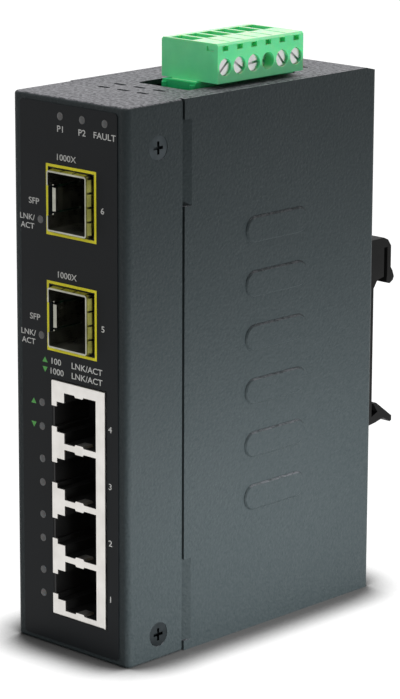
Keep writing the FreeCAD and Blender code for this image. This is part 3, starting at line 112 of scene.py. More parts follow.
# ---- finishes -----------------------------------------------------------------------------------
class Graph:
    """The node tree of one material, with short calls for the nodes used here."""

    def __init__(self, name: str) -> None:
        """Starts a material with one surface shader.

        Args:
            name: The material's name.
        """
        self.material = bpy.data.materials.new(name)
        self.material.use_nodes = True
        self.tree = self.material.node_tree
        self.tree.nodes.clear()
        output = self.add("ShaderNodeOutputMaterial")
        self.shader = self.add("ShaderNodeBsdfPrincipled")
        self.link(self.shader.outputs["BSDF"], output.inputs["Surface"])
        coordinates = self.add("ShaderNodeTexCoord")
        self.place = coordinates.outputs["Object"]
        self.outward = coordinates.outputs["Normal"]

    def add(self, kind: str) -> bpy.types.Node:
        """A new node of a kind."""
        return self.tree.nodes.new(kind)

    def link(self, source: bpy.types.NodeSocket, target: bpy.types.NodeSocket) -> None:
        """Joins an output to an input."""
        self.tree.links.new(source, target)

    def set(self, **values: float | tuple[float, ...]) -> None:
        """Sets plain values on the surface shader.

        Args:
            values: Socket names, with underscores for spaces, and their values.
        """
        for name, value in values.items():
            self.shader.inputs[name.replace("_", " ")].default_value = value

    def stretched(self, stretch: Run) -> bpy.types.NodeSocket:
        """The object's coordinates, squeezed along its axes so that a pattern lengthens there.

        Args:
            stretch: How many times longer the pattern is along X, Y and Z.

        Returns:
            The coordinates' socket.
        """
        mapping = self.add("ShaderNodeMapping")
        mapping.inputs["Scale"].default_value = [1 / value for value in stretch]
        self.link(self.place, mapping.inputs["Vector"])
        return mapping.outputs["Vector"]

    def noise(self, size: float, detail: float = 2.0, roughness: float = 0.5,
              stretch: Run = (1, 1, 1)) -> bpy.types.NodeSocket:
        """A soft random pattern.

        Args:
            size: Size of its spots.
            detail: How many finer layers it has.
            roughness: How strong the finer layers are.
            stretch: How many times longer it is along each axis.

        Returns:
            The pattern's socket, from 0 to 1.
        """
        node = self.add("ShaderNodeTexNoise")
        node.inputs["Scale"].default_value = 1 / (size * MM)
        node.inputs["Detail"].default_value = detail
        node.inputs["Roughness"].default_value = roughness
        self.link(self.stretched(stretch), node.inputs["Vector"])
        return node.outputs["Fac"]

    def pebbles(self, size: float) -> bpy.types.NodeSocket:
        """A pattern of small rounded cells.

        Args:
            size: How far apart the cells are.

        Returns:
            The pattern's socket, 0 in each cell's middle.
        """
        node = self.add("ShaderNodeTexVoronoi")
        node.feature = "SMOOTH_F1"
        node.inputs["Scale"].default_value = 1 / (size * MM)
        self.link(self.place, node.inputs["Vector"])
        return node.outputs["Distance"]

    def tone(self, pattern: bpy.types.NodeSocket, low: Colour, high: Colour,
             over: Range = PATTERN_RANGE) -> bpy.types.NodeSocket:
        """A colour that changes with a pattern.

        Args:
            pattern: The pattern's socket.
            low: The colour at its low values.
            high: The colour at its high values.
            over: The two values that have just these colours.

        Returns:
            The colour's socket.
        """
        node = self.add("ShaderNodeValToRGB")
        for element, place, colour in zip(node.color_ramp.elements, over, (low, high)):
            element.position = place
            element.color = (*colour, 1)
        self.link(pattern, node.inputs["Fac"])
        return node.outputs["Color"]

    def span(self, source: bpy.types.NodeSocket, to: Range, over: Range) -> bpy.types.NodeSocket:
        """A value moved from one range to another.

        Args:
            source: The value's socket.
            to: What the range's two ends become.
            over: The range.

        Returns:
            The new value's socket.
        """
        node = self.add("ShaderNodeMapRange")
        for name, value in zip(("From Min", "From Max", "To Min", "To Max"), over + to):
            node.inputs[name].default_value = value
        self.link(source, node.inputs["Value"])
        return node.outputs["Result"]

    def level_faces(self) -> bpy.types.NodeSocket:
        """How far the surface looks up.

        Returns:
            The value's socket, 1 on level faces and 0 on upright ones.
        """
        split = self.add("ShaderNodeSeparateXYZ")
        self.link(self.outward, split.inputs["Vector"])
        rise = self.span(split.outputs["Z"], WHOLE, LEVEL_RANGE)
        rise.node.interpolation_type = "SMOOTHSTEP"
        return rise

    def blend(self, share: bpy.types.NodeSocket, first: bpy.types.NodeSocket,
              second: bpy.types.NodeSocket) -> bpy.types.NodeSocket:
        """One colour turning into another.

        Args:
            share: How much of the second there is, from 0 to 1.
            first: The first colour.
            second: The second colour.

        Returns:
            The colour's socket.
        """
        node = self.add("ShaderNodeMix")
        node.data_type = "RGBA"
        colours = [socket for socket in node.inputs if socket.type == "RGBA"]
        self.link(share, node.inputs["Factor"])
        self.link(first, colours[0])
        self.link(second, colours[1])
        return next(socket for socket in node.outputs if socket.type == "RGBA")

    def join(self, operation: str, first: bpy.types.NodeSocket,
             second: bpy.types.NodeSocket) -> bpy.types.NodeSocket:
        """One value worked out from two.

        Args:
            operation: The sum that joins them, by Blender's name for it.
            first: The first value.
            second: The second value.

        Returns:
            The new value's socket.
        """
        node = self.add("ShaderNodeMath")
        node.operation = operation
        self.link(first, node.inputs[0])
        self.link(second, node.inputs[1])
        return node.outputs[0]

    def colour(self, source: bpy.types.NodeSocket) -> None:
        """Takes the surface's colour from a socket."""
        self.link(source, self.shader.inputs["Base Color"])

    def gloss(self, pattern: bpy.types.NodeSocket, roughness: float, spread: Range,
              over: Range = PATTERN_RANGE) -> None:
        """Lets a pattern vary the surface's roughness.

        Args:
            pattern: The pattern's socket.
            roughness: The roughness that it varies round.
            spread: How far it goes below and above that.
            over: The pattern's values where it gets there.
        """
        less, more = spread
        self.link(self.span(pattern, (roughness - less, roughness + more), over),
                  self.shader.inputs["Roughness"])

    def relief(self, height: bpy.types.NodeSocket, depth: float) -> None:
        """Raises the surface by a pattern.

        Args:
            height: The pattern's socket.
            depth: How high its peaks stand.
        """
        node = self.add("ShaderNodeBump")
        node.inputs["Strength"].default_value = 1.0
        node.inputs["Distance"].default_value = depth * MM
        self.link(height, node.inputs["Height"])
        self.link(node.outputs["Normal"], self.shader.inputs["Normal"])


@dataclass(frozen=True)
class PowderCoat:
    """Fine-textured powder coat on sheet steel: pebbled all over, and on level faces a lighter
    speckled colour that is painted top light with painted highlight glints.
    """

    low: Colour
    high: Colour
    speck_low: Colour
    speck_high: Colour
    pebble: float = 0.8
    cell_share: float = 0.8
    depth: float = 0.10
    speck: float = 0.9
    cloud: float = 26.0
    grain_range: Range = (0.28, 0.72)
    speck_range: Range = (0.38, 0.60)
    roughness: float = 0.46
    spread: Range = (0.05, 0.05)
    gleam: float = 0.12

    def build(self, name: str) -> bpy.types.Material:
        """Makes the material.

        Args:
            name: The material's name.

        Returns:
            The material.
        """
        graph = Graph(name)
        grain = graph.noise(self.pebble, detail=3.0, roughness=0.62)
        cloud = graph.noise(self.cloud)
        coat = graph.tone(graph.span(grain, WHOLE, self.grain_range), self.low, self.high, WHOLE)
        # painted light: level faces blend to lighter speckles that stand in for the top catching
        # light and glinting
        painted_glint_pattern = graph.noise(self.speck, roughness=0.6)
        painted_top_glints = graph.tone(painted_glint_pattern, self.speck_low, self.speck_high, self.speck_range)
        graph.colour(graph.blend(graph.level_faces(), coat, painted_top_glints))
        graph.gloss(cloud, self.roughness, self.spread)
        skin = graph.join("ADD", grain, graph.pebbles(self.pebble * self.cell_share))
        graph.relief(skin, self.depth)
        graph.set(Specular_IOR_Level=self.gleam)
        return graph.material


@dataclass(frozen=True)
class Film:
    """Printed polyester film: dark, satin, with a very fine embossed grain."""

    low: Colour
    high: Colour
    cloud: float = 18.0
    grain: float = 0.3
    depth: float = 0.006
    roughness: float = 0.38
    spread: Range = (0.0, 0.06)
    gleam: float = 0.11

    def build(self, name: str) -> bpy.types.Material:
        """Makes the material.

        Args:
            name: The material's name.

        Returns:
            The material.
        """
        graph = Graph(name)
        cloud = graph.noise(self.cloud, detail=3.0)
        grain = graph.noise(self.grain, detail=1.0)
        graph.colour(graph.tone(cloud, self.low, self.high))
        graph.gloss(cloud, self.roughness, self.spread)
        graph.relief(grain, self.depth)
        graph.set(Specular_IOR_Level=self.gleam)
        return graph.material


@dataclass(frozen=True)
class Plating:
    """A plated or bare metal: rolled grain, fine handling marks and a slightly clouded gloss."""

    low: Colour
    high: Colour
    roughness: float = 0.3
    grain: float = 0.12
    run: Run = (1, 1, 12)
    cloud: float = 3.5
    depth: float = 0.004
    spread: Range = (0.06, 0.1)
    marks_range: Range = (0.7, 1.3)

    def build(self, name: str) -> bpy.types.Material:
        """Makes the material.

        Args:
            name: The material's name.

        Returns:
            The material.
        """
        graph = Graph(name)
        lines = graph.noise(self.grain, stretch=self.run)
        cloud = graph.noise(self.cloud, detail=3.0)
        graph.colour(graph.tone(cloud, self.low, self.high))
        marks = graph.join("ADD", lines, cloud)
        graph.gloss(marks, self.roughness, self.spread, self.marks_range)
        graph.relief(lines, self.depth)
        graph.set(Metallic=1.0)
        return graph.material


@dataclass(frozen=True)
class Moulding:
    """Moulded plastic: faint flow marks, a fine spark-eroded skin and soft gloss, and where a paler
    colour is given, a painted top light that makes level faces paler.
    """

    low: Colour
    high: Colour
    roughness: float = 0.42
    glow: float = 0.0
    gleam: float = 0.5
    faded: Colour | None = None
    faded_range: Range = (0.45, 1.0)
    flow: float = 5.0
    flow_run: Run = (1, 2.5, 1)
    skin: float = 0.25
    depth: float = 0.008
    spread: Range = (0.05, 0.07)
    glow_reach: float = 2.0

    def build(self, name: str) -> bpy.types.Material:
        """Makes the material.

        Args:
            name: The material's name.

        Returns:
            The material.
        """
        graph = Graph(name)
        flow = graph.noise(self.flow, detail=3.0, stretch=self.flow_run)
        skin = graph.noise(self.skin)
        colour = graph.tone(flow, self.low, self.high)
        # painted light: level faces turn paler, standing in for the strong light falling on the top
        if self.faded is not None:
            painted_top_tone = graph.tone(flow, self.faded, self.high, self.faded_range)
            colour = graph.blend(graph.level_faces(), colour, painted_top_tone)
        graph.colour(colour)
        graph.gloss(skin, self.roughness, self.spread)
        graph.relief(skin, self.depth)
        graph.set(Subsurface_Weight=self.glow, Subsurface_Scale=self.glow_reach * MM,
                  Specular_IOR_Level=self.gleam)
        return graph.material


@dataclass(frozen=True)
class Ink:
    """Screen-printed ink: dry, with a slightly uneven coat."""

    low: Colour
    high: Colour
    coat: float = 0.5
    roughness: float = 0.55
    spread: Range = (0.05, 0.05)

    def build(self, name: str) -> bpy.types.Material:
        """Makes the material.

        Args:
            name: The material's name.

        Returns:
            The material.
        """
        graph = Graph(name)
        coat = graph.noise(self.coat)
        graph.colour(graph.tone(coat, self.low, self.high))
        graph.gloss(coat, self.roughness, self.spread)
        return graph.material


@dataclass(frozen=True)
class Lens:
    """Smoky translucent plastic over an unlit indicator."""

    edge: Colour
    middle: Colour
    cloud: float = 0.8
    roughness: float = 0.28
    glow: float = 0.2
    glow_reach: float = 0.4

    def build(self, name: str) -> bpy.types.Material:
        """Makes the material.

        Args:
            name: The material's name.

        Returns:
            The material.
        """
        graph = Graph(name)
        graph.colour(graph.tone(graph.noise(self.cloud), self.edge, self.middle))
        graph.set(Roughness=self.roughness, Subsurface_Weight=self.glow,
                  Subsurface_Scale=self.glow_reach * MM)
        return graph.material


Finish = PowderCoat | Film | Plating | Moulding | Ink | Lens

SLOT_FINISHES: dict[str, Finish] = {
    # case_steel's lighter speckle colours on level faces are a painted top light with painted glints
    "case_steel": PowderCoat(low=(0.020, 0.0265, 0.0285), high=(0.029, 0.036, 0.038),
                             speck_low=(0.034, 0.036, 0.040), speck_high=(0.190, 0.187, 0.202)),
    "zinc_steel": Plating(low=(0.50, 0.51, 0.53), high=(0.66, 0.67, 0.69), roughness=0.32),
    "black_steel": Plating(low=(0.030, 0.037, 0.040), high=(0.054, 0.064, 0.069), roughness=0.36),
    "panel_film": Film(low=(0.0072, 0.0084, 0.0096), high=(0.0092, 0.0106, 0.0120)),
    "clip_plastic": Moulding(low=grey(0.003), high=grey(0.005), roughness=0.5, gleam=0.10),
    "board": Moulding(low=(0.004, 0.020, 0.010), high=(0.006, 0.030, 0.014), roughness=0.4),
    "black_plastic": Moulding(low=grey(0.014), high=grey(0.024), roughness=0.45),
    "black_aluminium": Plating(low=grey(0.04), high=grey(0.06), roughness=0.42),
    "can_aluminium": Plating(low=grey(0.55), high=grey(0.68), roughness=0.28),
    "ferrite": Moulding(low=grey(0.06), high=grey(0.1), roughness=0.7),
    "relay_plastic": Moulding(low=(0.60, 0.50, 0.28), high=(0.70, 0.60, 0.36), roughness=0.4),
    "can_metal": Plating(low=grey(0.60), high=grey(0.74), roughness=0.22),
    "light_guide": Moulding(low=grey(0.30), high=grey(0.42), roughness=0.25),
    "led_white": Moulding(low=grey(0.60), high=grey(0.75), roughness=0.35),
    "plated_shield": Plating(low=(0.62, 0.60, 0.57), high=(0.72, 0.70, 0.67), roughness=0.34,
                             run=(1, 1, 10)),
    "jack_plastic": Moulding(low=grey(0.007), high=grey(0.012), roughness=0.4, gleam=0.25),
    "gold_contact": Plating(low=(0.62, 0.42, 0.14), high=(0.78, 0.56, 0.22), roughness=0.25),
    "plated_cage": Plating(low=(0.26, 0.26, 0.22), high=(0.40, 0.40, 0.34), run=(1, 12, 1)),
    # spring_metal's olive tone is the metal's own; its strong yellow is a painted reflection of the
    # yellow cage borders
    "spring_metal": Plating(low=(0.25, 0.245, 0.06), high=(0.44, 0.43, 0.12), roughness=0.36),
    "green_header": Moulding(low=(0.004, 0.40, 0.120), high=(0.008, 0.47, 0.150), roughness=0.38,
                             glow=0.5),
    # green_plug's paler colour on level faces is a painted top light
    "green_plug": Moulding(low=(0.095, 0.76, 0.300), high=(0.135, 0.84, 0.350), roughness=0.40,
                           glow=0.5, gleam=0.8, faded=(0.50, 0.72, 0.48)),
    "tin_pin": Plating(low=grey(0.56), high=grey(0.70)),
    "screw_steel": Plating(low=grey(0.52), high=grey(0.68), roughness=0.28, grain=0.2,
                           run=(1, 1, 1)),
}

WHITE_INK = Ink(low=(0.60, 0.60, 0.58), high=(0.74, 0.74, 0.72))
YELLOW_INK = Ink(low=(0.92, 0.82, 0.025), high=(1.0, 0.92, 0.04))
GREEN_INK = Ink(low=(0.08, 0.36, 0.07), high=(0.12, 0.46, 0.10))
SMOKY_LENS = Lens(edge=grey(0.055), middle=grey(0.085))


def dress_nodes(frame: dict) -> None:
    """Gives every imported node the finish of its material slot.
    """
    slots = {part["node"]: part["material_slot"] for part in frame["record"]["subparts"]}
    made = {slot: finish.build(slot) for slot, finish in SLOT_FINISHES.items()}
    for name, node in frame["nodes"].items():
        node.data.materials.clear()
        node.data.materials.append(made[slots[name]])
    LOG.info("dressed %d nodes in %d finishes", len(frame["nodes"]), len(made))


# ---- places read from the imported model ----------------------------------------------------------
@dataclass(frozen=True)
class Spot:
    """A place on the front panel: across and up."""

    across: float
    up: float

    def moved(self, across: float = 0.0, up: float = 0.0) -> "Spot":
        """The place beside this one by some distance."""
        return Spot(self.across + across, self.up + up)


def box_mm(node: str) -> tuple[Vector, Vector]:
    """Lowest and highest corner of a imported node."""
    low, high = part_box(node)
    return low / MM, high / MM


def round_pieces(node: bpy.types.Object, reach: float) -> list[Spot]:
    """Middles of a node's separate round pieces, seen from the front.

    Args:
        node: The node, whose pieces lie further apart than the reach.
        reach: More than a piece's width.

    Returns:
        The middles, from the top down.
    """
    groups: list[list[Vector]] = []
    for vertex in node.data.vertices:
        point = vertex.co / MM
        for group in groups:
            if math.hypot(point.x - group[0].x, point.z - group[0].z) < reach:
                group.append(point)
                break
        else:
            groups.append([point])
    spots = []
    for group in groups:
        across = [point.x for point in group]
        up = [point.z for point in group]
        spots.append(Spot((min(across) + max(across)) / 2, (min(up) + max(up)) / 2))
    return sorted(spots, key=lambda spot: (-spot.up, spot.across))


@dataclass
class PanelMap:
    """Where the panel's lights and ports are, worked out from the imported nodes.

    Each of the jack shield's ends is measured from the middle of the jack beside it, and the cage
    openings' sides from the board's face. Round pieces nearer than the light reach are one light,
    and lights within the row reach of the highest one are in the top row.
    """

    frame: dict
    light_reach: float = 2.5
    row_reach: float = 1.0
    jack_count: int = 4
    jack_low_end: float = 7.8
    jack_high_end: float = 8.8
    opening_near: float = -0.9
    opening_far: float = 13.9
    opening_tall: float = 15.1

    def __post_init__(self) -> None:
        """Reads the boxes of the film, the ports and the lights."""
        self.face = box_mm("front_film")[0].y
        board_face = box_mm("main_board")[1].x
        lights = round_pieces(self.frame["nodes"]["light_guides"], self.light_reach)
        top = lights[0].up
        self.status_lights = [spot for spot in lights if top - spot.up < self.row_reach]
        self.port_lights = lights[len(self.status_lights):]
        low, high = box_mm("jack_shield")
        first, last = low.z + self.jack_low_end, high.z - self.jack_high_end
        pitch = (last - first) / (self.jack_count - 1)
        across = (low.x + high.x) / 2
        self.shield_top = high.z
        self.jacks = [Spot(across, first + index * pitch) for index in range(self.jack_count)]
        middle = board_face + (self.opening_near + self.opening_far) / 2
        self.cages = []
        for node in ("lower_cage", "upper_cage"):
            low, high = box_mm(node)
            self.cages.append(Spot(middle, (low.z + high.z) / 2))


# ---- printed pieces -----------------------------------------------------------------------------
class Way(Enum):
    """Which way a printed arrow points."""

    UP = 1
    DOWN = -1


@dataclass(frozen=True)
class Legend:
    """One printed word: its letters, its middle from the place it belongs to, and their height."""

    text: str
    across: float
    up: float
    tall: float


def flat_extent(corners: Iterable[bpy.types.MeshVertex | bmesh.types.BMVert],
                ) -> tuple[Vector, float, float]:
    """Measures a level shape.

    Args:
        corners: The shape's vertices.

    Returns:
        Its middle, its width and its height.
    """
    across = [corner.co.x for corner in corners]
    up = [corner.co.y for corner in corners]
    middle = Vector(((min(across) + max(across)) / 2, (min(up) + max(up)) / 2, 0))
    return middle, max(across) - min(across), max(up) - min(up)


@dataclass
class PrintedPiece:
    """One piece of ink on the film, gathered in a mesh and laid on the film's face.

    Its coat is the ink's thickness. The letters' width is a share of the font's, and their weight,
    by which they are bolder, and their depth are shares of the font's size.
    """

    name: str
    face: float
    coat: float = 0.012
    letter_wide: float = 1.2
    letter_weight: float = 0.010
    letter_depth: float = 0.02
    letter_steps: int = 4
    mesh: bmesh.types.BMesh = field(default_factory=bmesh.new)

    def word(self, text: str, spot: Spot, tall: float) -> None:
        """Prints a word, centred on a place.

        Args:
            text: The word.
            spot: Its middle.
            tall: Height of its letters.
        """
        curve = bpy.data.curves.new(self.name + "_word", "FONT")
        curve.body = text
        curve.resolution_u = self.letter_steps
        curve.extrude = self.letter_depth / 2
        curve.offset = self.letter_weight
        holder = bpy.data.objects.new(self.name + "_word", curve)
        bpy.context.scene.collection.objects.link(holder)
        bpy.context.view_layer.update()
        graph = bpy.context.evaluated_depsgraph_get()
        letters = bpy.data.meshes.new_from_object(holder.evaluated_get(graph))
        bpy.data.objects.remove(holder)
        middle, _, font_tall = flat_extent(letters.vertices)
        scale = tall / font_tall
        size = Matrix.Diagonal((scale * self.letter_wide, scale, self.coat / self.letter_depth, 1))
        place = Matrix.Translation((spot.across, self.face - self.coat / 2, spot.up))
        letters.transform(place @ STAND_UP @ size @ Matrix.Translation(-middle))
        self.mesh.from_mesh(letters)
        bpy.data.meshes.remove(letters)

    def border(self, low: Spot, high: Spot, bar: float) -> None:
        """Prints a rectangular line.

        Args:
            low: The outer lower left corner.
            high: The outer upper right corner.
            bar: The line's width.
        """
        corners = bmesh.ops.create_grid(self.mesh, x_segments=1, y_segments=1, size=0.5)["verts"]
        middle = Spot((low.across + high.across) / 2, (low.up + high.up) / 2)
        size = Matrix.Diagonal((high.across - low.across, high.up - low.up, 1, 1))
        face = self.stand(corners, middle, size)
        bmesh.ops.inset_region(self.mesh, faces=[face], thickness=bar, use_boundary=True)
        ring = {other for edge in face.edges for other in edge.link_faces} - {face}
        bmesh.ops.delete(self.mesh, geom=[face], context="FACES_ONLY")
        self.thicken(list(ring))

    def arrow(self, spot: Spot, width: float, tall: float, way: Way) -> None:
        """Prints a solid triangle.

        Args:
            spot: Its middle.
            width: Its width.
            tall: Its height.
            way: Which way it points.
        """
        corners = bmesh.ops.create_circle(self.mesh, segments=3, radius=1.0, cap_ends=True)["verts"]
        middle, wide, high = flat_extent(corners)
        corners_above = sum(corner.co.y > middle.y for corner in corners)
        pointing = 1 if corners_above == 1 else -1
        size = Matrix.Diagonal((width / wide, way.value * pointing * tall / high, 1, 1))
        self.thicken([self.stand(corners, spot, size @ Matrix.Translation(-middle))])

    def stand(self, corners: list[bmesh.types.BMVert], spot: Spot,
              shaping: Matrix) -> bmesh.types.BMFace:
        """Stands a flat shape up on the film.

        Args:
            corners: The shape's corners, lying level.
            spot: Where its middle goes.
            shaping: How it is sized while it still lies level.

        Returns:
            The shape's face.
        """
        place = Matrix.Translation((spot.across, self.face, spot.up))
        bmesh.ops.transform(self.mesh, matrix=place @ STAND_UP @ shaping, verts=corners)
        self.mesh.normal_update()
        return corners[0].link_faces[0]

    def thicken(self, faces: list[bmesh.types.BMFace]) -> None:
        """Gives flat faces the ink's thickness, out from the film.

        Args:
            faces: The faces, on the film.
        """
        raised = bmesh.ops.extrude_face_region(self.mesh, geom=faces, use_keep_orig=True)["geom"]
        lifted = [item for item in raised if isinstance(item, bmesh.types.BMVert)]
        bmesh.ops.translate(self.mesh, vec=(0, -self.coat, 0), verts=lifted)

    def lay(self, finish: Ink) -> bpy.types.Object:
        """Makes the piece's object and lets it ride on the case.

        Args:
            finish: Its ink.

        Returns:
            The object.
        """
        bmesh.ops.recalc_face_normals(self.mesh, faces=self.mesh.faces)
        return settle(self.name, self.mesh, finish.build(self.name), CASE_BODY)


def settle(name: str, shape: bmesh.types.BMesh, material: bpy.types.Material, body: str,
           smooth: bool = False) -> bpy.types.Object:
    """Turns a shape in millimetres into a finished piece.

    Args:
        name: The piece's name.
        shape: Its mesh, which is used up.
        material: Its finish.
        body: The body that it rides on.
        smooth: True for a rounded piece.

    Returns:
        The piece's object.
    """
    bmesh.ops.scale(shape, vec=(MM, MM, MM), verts=shape.verts)
    mesh = bpy.data.meshes.new(name)
    shape.to_mesh(mesh)
    shape.free()
    for polygon in mesh.polygons:
        polygon.use_smooth = smooth
    mesh.materials.append(material)
    piece = bpy.data.objects.new(name, mesh)
    bpy.context.scene.collection.objects.link(piece)
    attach(piece, body)
    LOG.info("%s: %d faces on %s", name, len(mesh.polygons), body)
    return piece


@dataclass(frozen=True)
class SpeedRow:
    """One row of the speed key: its arrow's way, how far above the shield it lies, and its words.

    Each word is given with its middle across.
    """

    way: Way
    rise: float
    words: tuple[tuple[str, float], ...]


@dataclass
class PanelPrinting:
    """All printing on the front film."""

    panel: PanelMap
    letters_tall: float = 1.5
    status_names: tuple[str, ...] = ("P1", "P2", "FAULT")
    status_drop: float = 3.0
    cage_words: tuple[Legend, ...] = (
        Legend("1000X", -1.4, 10.4, 1.5), Legend("SFP", -12.5, -1.1, 1.5),
        Legend("LNK/", -14.8, -5.2, 1.4), Legend("ACT", -14.8, -7.3, 1.4))
    cage_number_across: float = 11.3
    cage_number_drop: float = 0.4
    jack_number_across: float = 13.5
    border_bar: float = 0.95
    speed_rows: tuple[SpeedRow, ...] = (
        SpeedRow(Way.UP, 4.45, (("100", -4.45), ("LNK/ACT", 5.9))),
        SpeedRow(Way.DOWN, 2.0, (("1000", -4.2), ("LNK/ACT", 5.9))))
    speed_arrow_across: float = -8.3
    jack_arrow_shift: float = -2.85
    arrow_width: float = 1.75
    arrow_tall: float = 1.35

    def build(self) -> None:
        """Prints every piece."""
        self.legends().lay(WHITE_INK)
        self.borders().lay(YELLOW_INK)
        self.arrows().lay(GREEN_INK)

    def legends(self) -> PrintedPiece:
        """The white words and numbers.

        Returns:
            The piece, not yet laid on the film.
        """
        piece = PrintedPiece("panel_legends", self.panel.face)
        for text, spot in zip(self.status_names, self.panel.status_lights):
            piece.word(text, spot.moved(up=-self.status_drop), self.letters_tall)
        for number, spot in enumerate(self.panel.jacks, start=1):
            piece.word(str(number), Spot(self.jack_number_across, spot.up), self.letters_tall)
        for number, spot in enumerate(self.panel.cages, start=len(self.panel.jacks) + 1):
            beside = Spot(self.cage_number_across, spot.up - self.cage_number_drop)
            piece.word(str(number), beside, self.letters_tall)
            for legend in self.cage_words:
                piece.word(legend.text, spot.moved(legend.across, legend.up), legend.tall)
        for row in self.speed_rows:
            for text, across in row.words:
                spot = Spot(across, self.panel.shield_top + row.rise)
                piece.word(text, spot, self.letters_tall)
        return piece

    def borders(self) -> PrintedPiece:
        """The yellow line round each cage.

        Returns:
            The piece, not yet laid on the film.
        """
        piece = PrintedPiece("cage_borders", self.panel.face)
        panel = self.panel
        across = (panel.opening_far - panel.opening_near) / 2 + self.border_bar
        up = panel.opening_tall / 2 + self.border_bar
        for spot in panel.cages:
            piece.border(spot.moved(-across, -up), spot.moved(across, up), self.border_bar)
        return piece

    def arrows(self) -> PrintedPiece:
        """The green arrows of the speed rows and of the top jack's lights.

        Returns:
            The piece, not yet laid on the film.
        """
        piece = PrintedPiece("speed_arrows", self.panel.face)
        jack_lights = self.panel.port_lights[len(self.panel.cages):]
        for row, light in zip(self.speed_rows, jack_lights):
            for spot in (Spot(self.speed_arrow_across, self.panel.shield_top + row.rise),
                         light.moved(across=self.jack_arrow_shift)):
                piece.arrow(spot, self.arrow_width, self.arrow_tall, row.way)
        return piece


@dataclass
class LightWindows:
    """Low domes of smoky plastic over the panel's lights."""

    panel: PanelMap
    radius: float = 0.95
    rise: float = 0.16
    round_steps: int = 24
    rise_steps: int = 12

    def build(self) -> bpy.types.Object:
        """Makes all windows as one piece.

        Returns:
            The piece.
        """
        shape = bmesh.new()
        for spot in self.panel.status_lights + self.panel.port_lights:
            self.dome(shape, spot)
        bmesh.ops.recalc_face_normals(shape, faces=shape.faces)
        finish = SMOKY_LENS.build("light_windows")
        return settle("light_windows", shape, finish, CASE_BODY, smooth=True)

    def dome(self, shape: bmesh.types.BMesh, spot: Spot) -> None:
        """Adds one dome.

        Args:
            shape: The mesh to add to.
            spot: The dome's middle.
        """
        before = set(shape.verts)
        ball = bmesh.ops.create_uvsphere(shape, u_segments=self.round_steps,
                                         v_segments=self.rise_steps, radius=self.radius)["verts"]
        geometry = ball + list({edge for vertex in ball for edge in vertex.link_edges})
        geometry += list({face for vertex in ball for face in vertex.link_faces})
        cut = bmesh.ops.bisect_plane(shape, geom=geometry, plane_co=(0, 0, 0), plane_no=(0, 0, 1),
                                     clear_inner=True)
        rim = [item for item in cut["geom_cut"] if isinstance(item, bmesh.types.BMEdge)]
        bmesh.ops.holes_fill(shape, edges=rim, sides=0)
        dome = [vertex for vertex in shape.verts if vertex not in before]
        flat = Matrix.Diagonal((1, 1, self.rise / self.radius, 1))
        place = Matrix.Translation((spot.across, self.panel.face, spot.up))
        bmesh.ops.transform(shape, matrix=place @ STAND_UP @ flat, verts=dome)


# ---- studio -------------------------------------------------------------------------------------
@dataclass(frozen=True)
class Softbox:
    """An area lamp: its place, what it points at, its size, its power, and if gloss sees it."""

    name: str
    place: Point
    aim: Point
    wide: float
    tall: float
    watts: float
    seen: bool = True

    def hang(self) -> None:
        """Adds the lamp. The camera never sees it, and gloss only where it is to be seen."""
        lamp = bpy.data.lights.new(self.name, "AREA")
        lamp.shape = "RECTANGLE"
        lamp.size = self.wide * MM
        lamp.size_y = self.tall * MM
        lamp.energy = self.watts
        holder = bpy.data.objects.new(self.name, lamp)
        bpy.context.scene.collection.objects.link(holder)
        holder.location = Vector(self.place) * MM
        way = Vector(self.aim) - Vector(self.place)
        holder.rotation_euler = way.to_track_quat("-Z", "Y").to_euler()
        holder.visible_camera = False
        holder.visible_glossy = self.seen


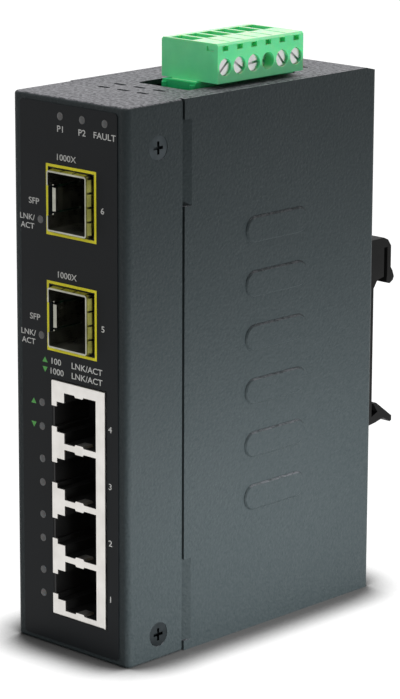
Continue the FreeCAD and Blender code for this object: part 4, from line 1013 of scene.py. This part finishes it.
@dataclass
class Studio:
    """A plain pale table and even light from all round.

    The table is dark to what lights it and glows to what sees it, so that it looks white and casts
    no light up. Its glow fades where something stands closer than the shade's reach, over the
    shade's range of how open the place is: a painted contact shadow round the object, which the
    lamps' own faint shadow on the dark table joins.
    """

    table_reach: float = 4000.0
    table_drop: float = 0.02
    table_colour: Colour = grey(0.09)
    table_roughness: float = 0.9
    table_glow: float = 1.05
    shade_reach: float = 16.0
    shade_range: Range = (0.60, 1.04)
    sky_seen: float = 1.0
    sky_light: float = 0.38
    lamps: tuple[Softbox, ...] = field(default_factory=lambda: (
        Softbox("lamp_top", (-60, 120, 900), (0, 0, 60), 500, 500, 6.0),
        Softbox("lamp_side", (100, 0, 24), (0, 0, 24), 180, 34, 0.36, seen=False),
        Softbox("lamp_front", (-100, -800, 500), (0, 0, 60), 400, 400, 0.95),
    ))

    def build(self) -> None:
        """Adds the table, the sky and the lamps."""
        self.table()
        self.sky()
        for lamp in self.lamps:
            lamp.hang()
        bpy.context.scene.view_settings.view_transform = "Standard"

    def seen(self, tree: bpy.types.NodeTree) -> bpy.types.NodeSocket:
        """A value that is 1 for what the camera, gloss and glass see, and 0 for what lights.

        Args:
            tree: The node tree to add to.

        Returns:
            The value's socket.
        """
        path = tree.nodes.new("ShaderNodeLightPath")
        total = path.outputs["Is Camera Ray"]
        for name in ("Is Glossy Ray", "Is Transmission Ray"):
            node = tree.nodes.new("ShaderNodeMath")
            node.operation = "MAXIMUM"
            tree.links.new(total, node.inputs[0])
            tree.links.new(path.outputs[name], node.inputs[1])
            total = node.outputs[0]
        return total

    def table(self) -> None:
        """The pale table, which keeps the lamps' shadow of the object and a painted contact shadow
        round it.
        """
        shape = bmesh.new()
        bmesh.ops.create_grid(shape, x_segments=1, y_segments=1, size=self.table_reach * MM)
        bmesh.ops.translate(shape, vec=(0, 0, -self.table_drop * MM), verts=shape.verts)
        mesh = bpy.data.meshes.new("table")
        shape.to_mesh(mesh)
        shape.free()
        mesh.materials.append(self.table_finish())
        table = bpy.data.objects.new("table", mesh)
        bpy.context.scene.collection.objects.link(table)
        table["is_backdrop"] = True

    def table_finish(self) -> bpy.types.Material:
        """The table's matt finish and its glow, which fades into a painted contact shadow near the
        object.

        Returns:
            The material.
        """
        graph = Graph("table")
        graph.set(Base_Color=(*self.table_colour, 1), Roughness=self.table_roughness,
                  Specular_IOR_Level=0.0, Emission_Color=WHITE)
        openness = graph.add("ShaderNodeAmbientOcclusion")
        openness.inputs["Distance"].default_value = self.shade_reach * MM
        # painted shadow: the glow dims where the ambient occlusion finds the object close
        painted_shadow_fade = graph.span(openness.outputs["AO"], (0.0, self.table_glow), self.shade_range)
        painted_shadow_fade.node.interpolation_type = "SMOOTHSTEP"
        glow = graph.join("MULTIPLY", self.seen(graph.tree), painted_shadow_fade)
        graph.link(glow, graph.shader.inputs["Emission Strength"])
        return graph.material

    def sky(self) -> None:
        """Even pale light from all round."""
        world = bpy.data.worlds.new("sky")
        world.use_nodes = True
        bpy.context.scene.world = world
        tree = world.node_tree
        background = tree.nodes["Background"]
        background.inputs["Color"].default_value = WHITE
        level = tree.nodes.new("ShaderNodeMapRange")
        level.inputs["To Min"].default_value = self.sky_light
        level.inputs["To Max"].default_value = self.sky_seen
        tree.links.new(self.seen(tree), level.inputs["Value"])
        tree.links.new(level.outputs["Result"], background.inputs["Strength"])


@dataclass(frozen=True)
class Viewpoint:
    """Where the camera stands, measured round a point near the object's middle, and its lens."""

    azimuth_deg: float = 43.41
    elevation_deg: float = 14.14
    roll_deg: float = 0.21
    distance: float = 770.9
    lens: float = 160.63
    aim_offset: Point = (-0.89, -2.93, -6.01)
    sensor: float = 36.0
    clip: Range = (10.0, 20000.0)

    def place(self, bounds: tuple[Vector, Vector]) -> None:
        """Adds the camera and makes it the scene's.

        Args:
            bounds: Lowest and highest corner of the object, in metres.
        """
        low, high = (Vector(corner) for corner in bounds)
        aim = (low + high) / 2 + Vector(self.aim_offset) * MM
        turn, tilt = math.radians(self.azimuth_deg), math.radians(self.elevation_deg)
        away = Vector((math.sin(turn) * math.cos(tilt), -math.cos(turn) * math.cos(tilt),
                       math.sin(tilt)))
        data = bpy.data.cameras.new("camera")
        data.lens = self.lens
        data.sensor_width = self.sensor
        data.clip_start, data.clip_end = (reach * MM for reach in self.clip)
        camera = bpy.data.objects.new("camera", data)
        bpy.context.scene.collection.objects.link(camera)
        look = (-away).to_track_quat("-Z", "Y").to_matrix().to_4x4()
        roll = Matrix.Rotation(math.radians(self.roll_deg), 4, "Z")
        camera.matrix_world = Matrix.Translation(aim + away * self.distance * MM) @ look @ roll
        bpy.context.scene.camera = camera


def main() -> None:
    """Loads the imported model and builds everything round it."""
    logging.basicConfig(level=logging.INFO, format="%(message)s")
    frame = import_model()
    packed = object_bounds()
    Viewpoint().place(packed)
    Studio().build()
    dress_nodes(frame)
    panel = PanelMap(frame)
    PanelPrinting(panel).build()
    LightWindows(panel).build()


if __name__ == "__main__":
    main()
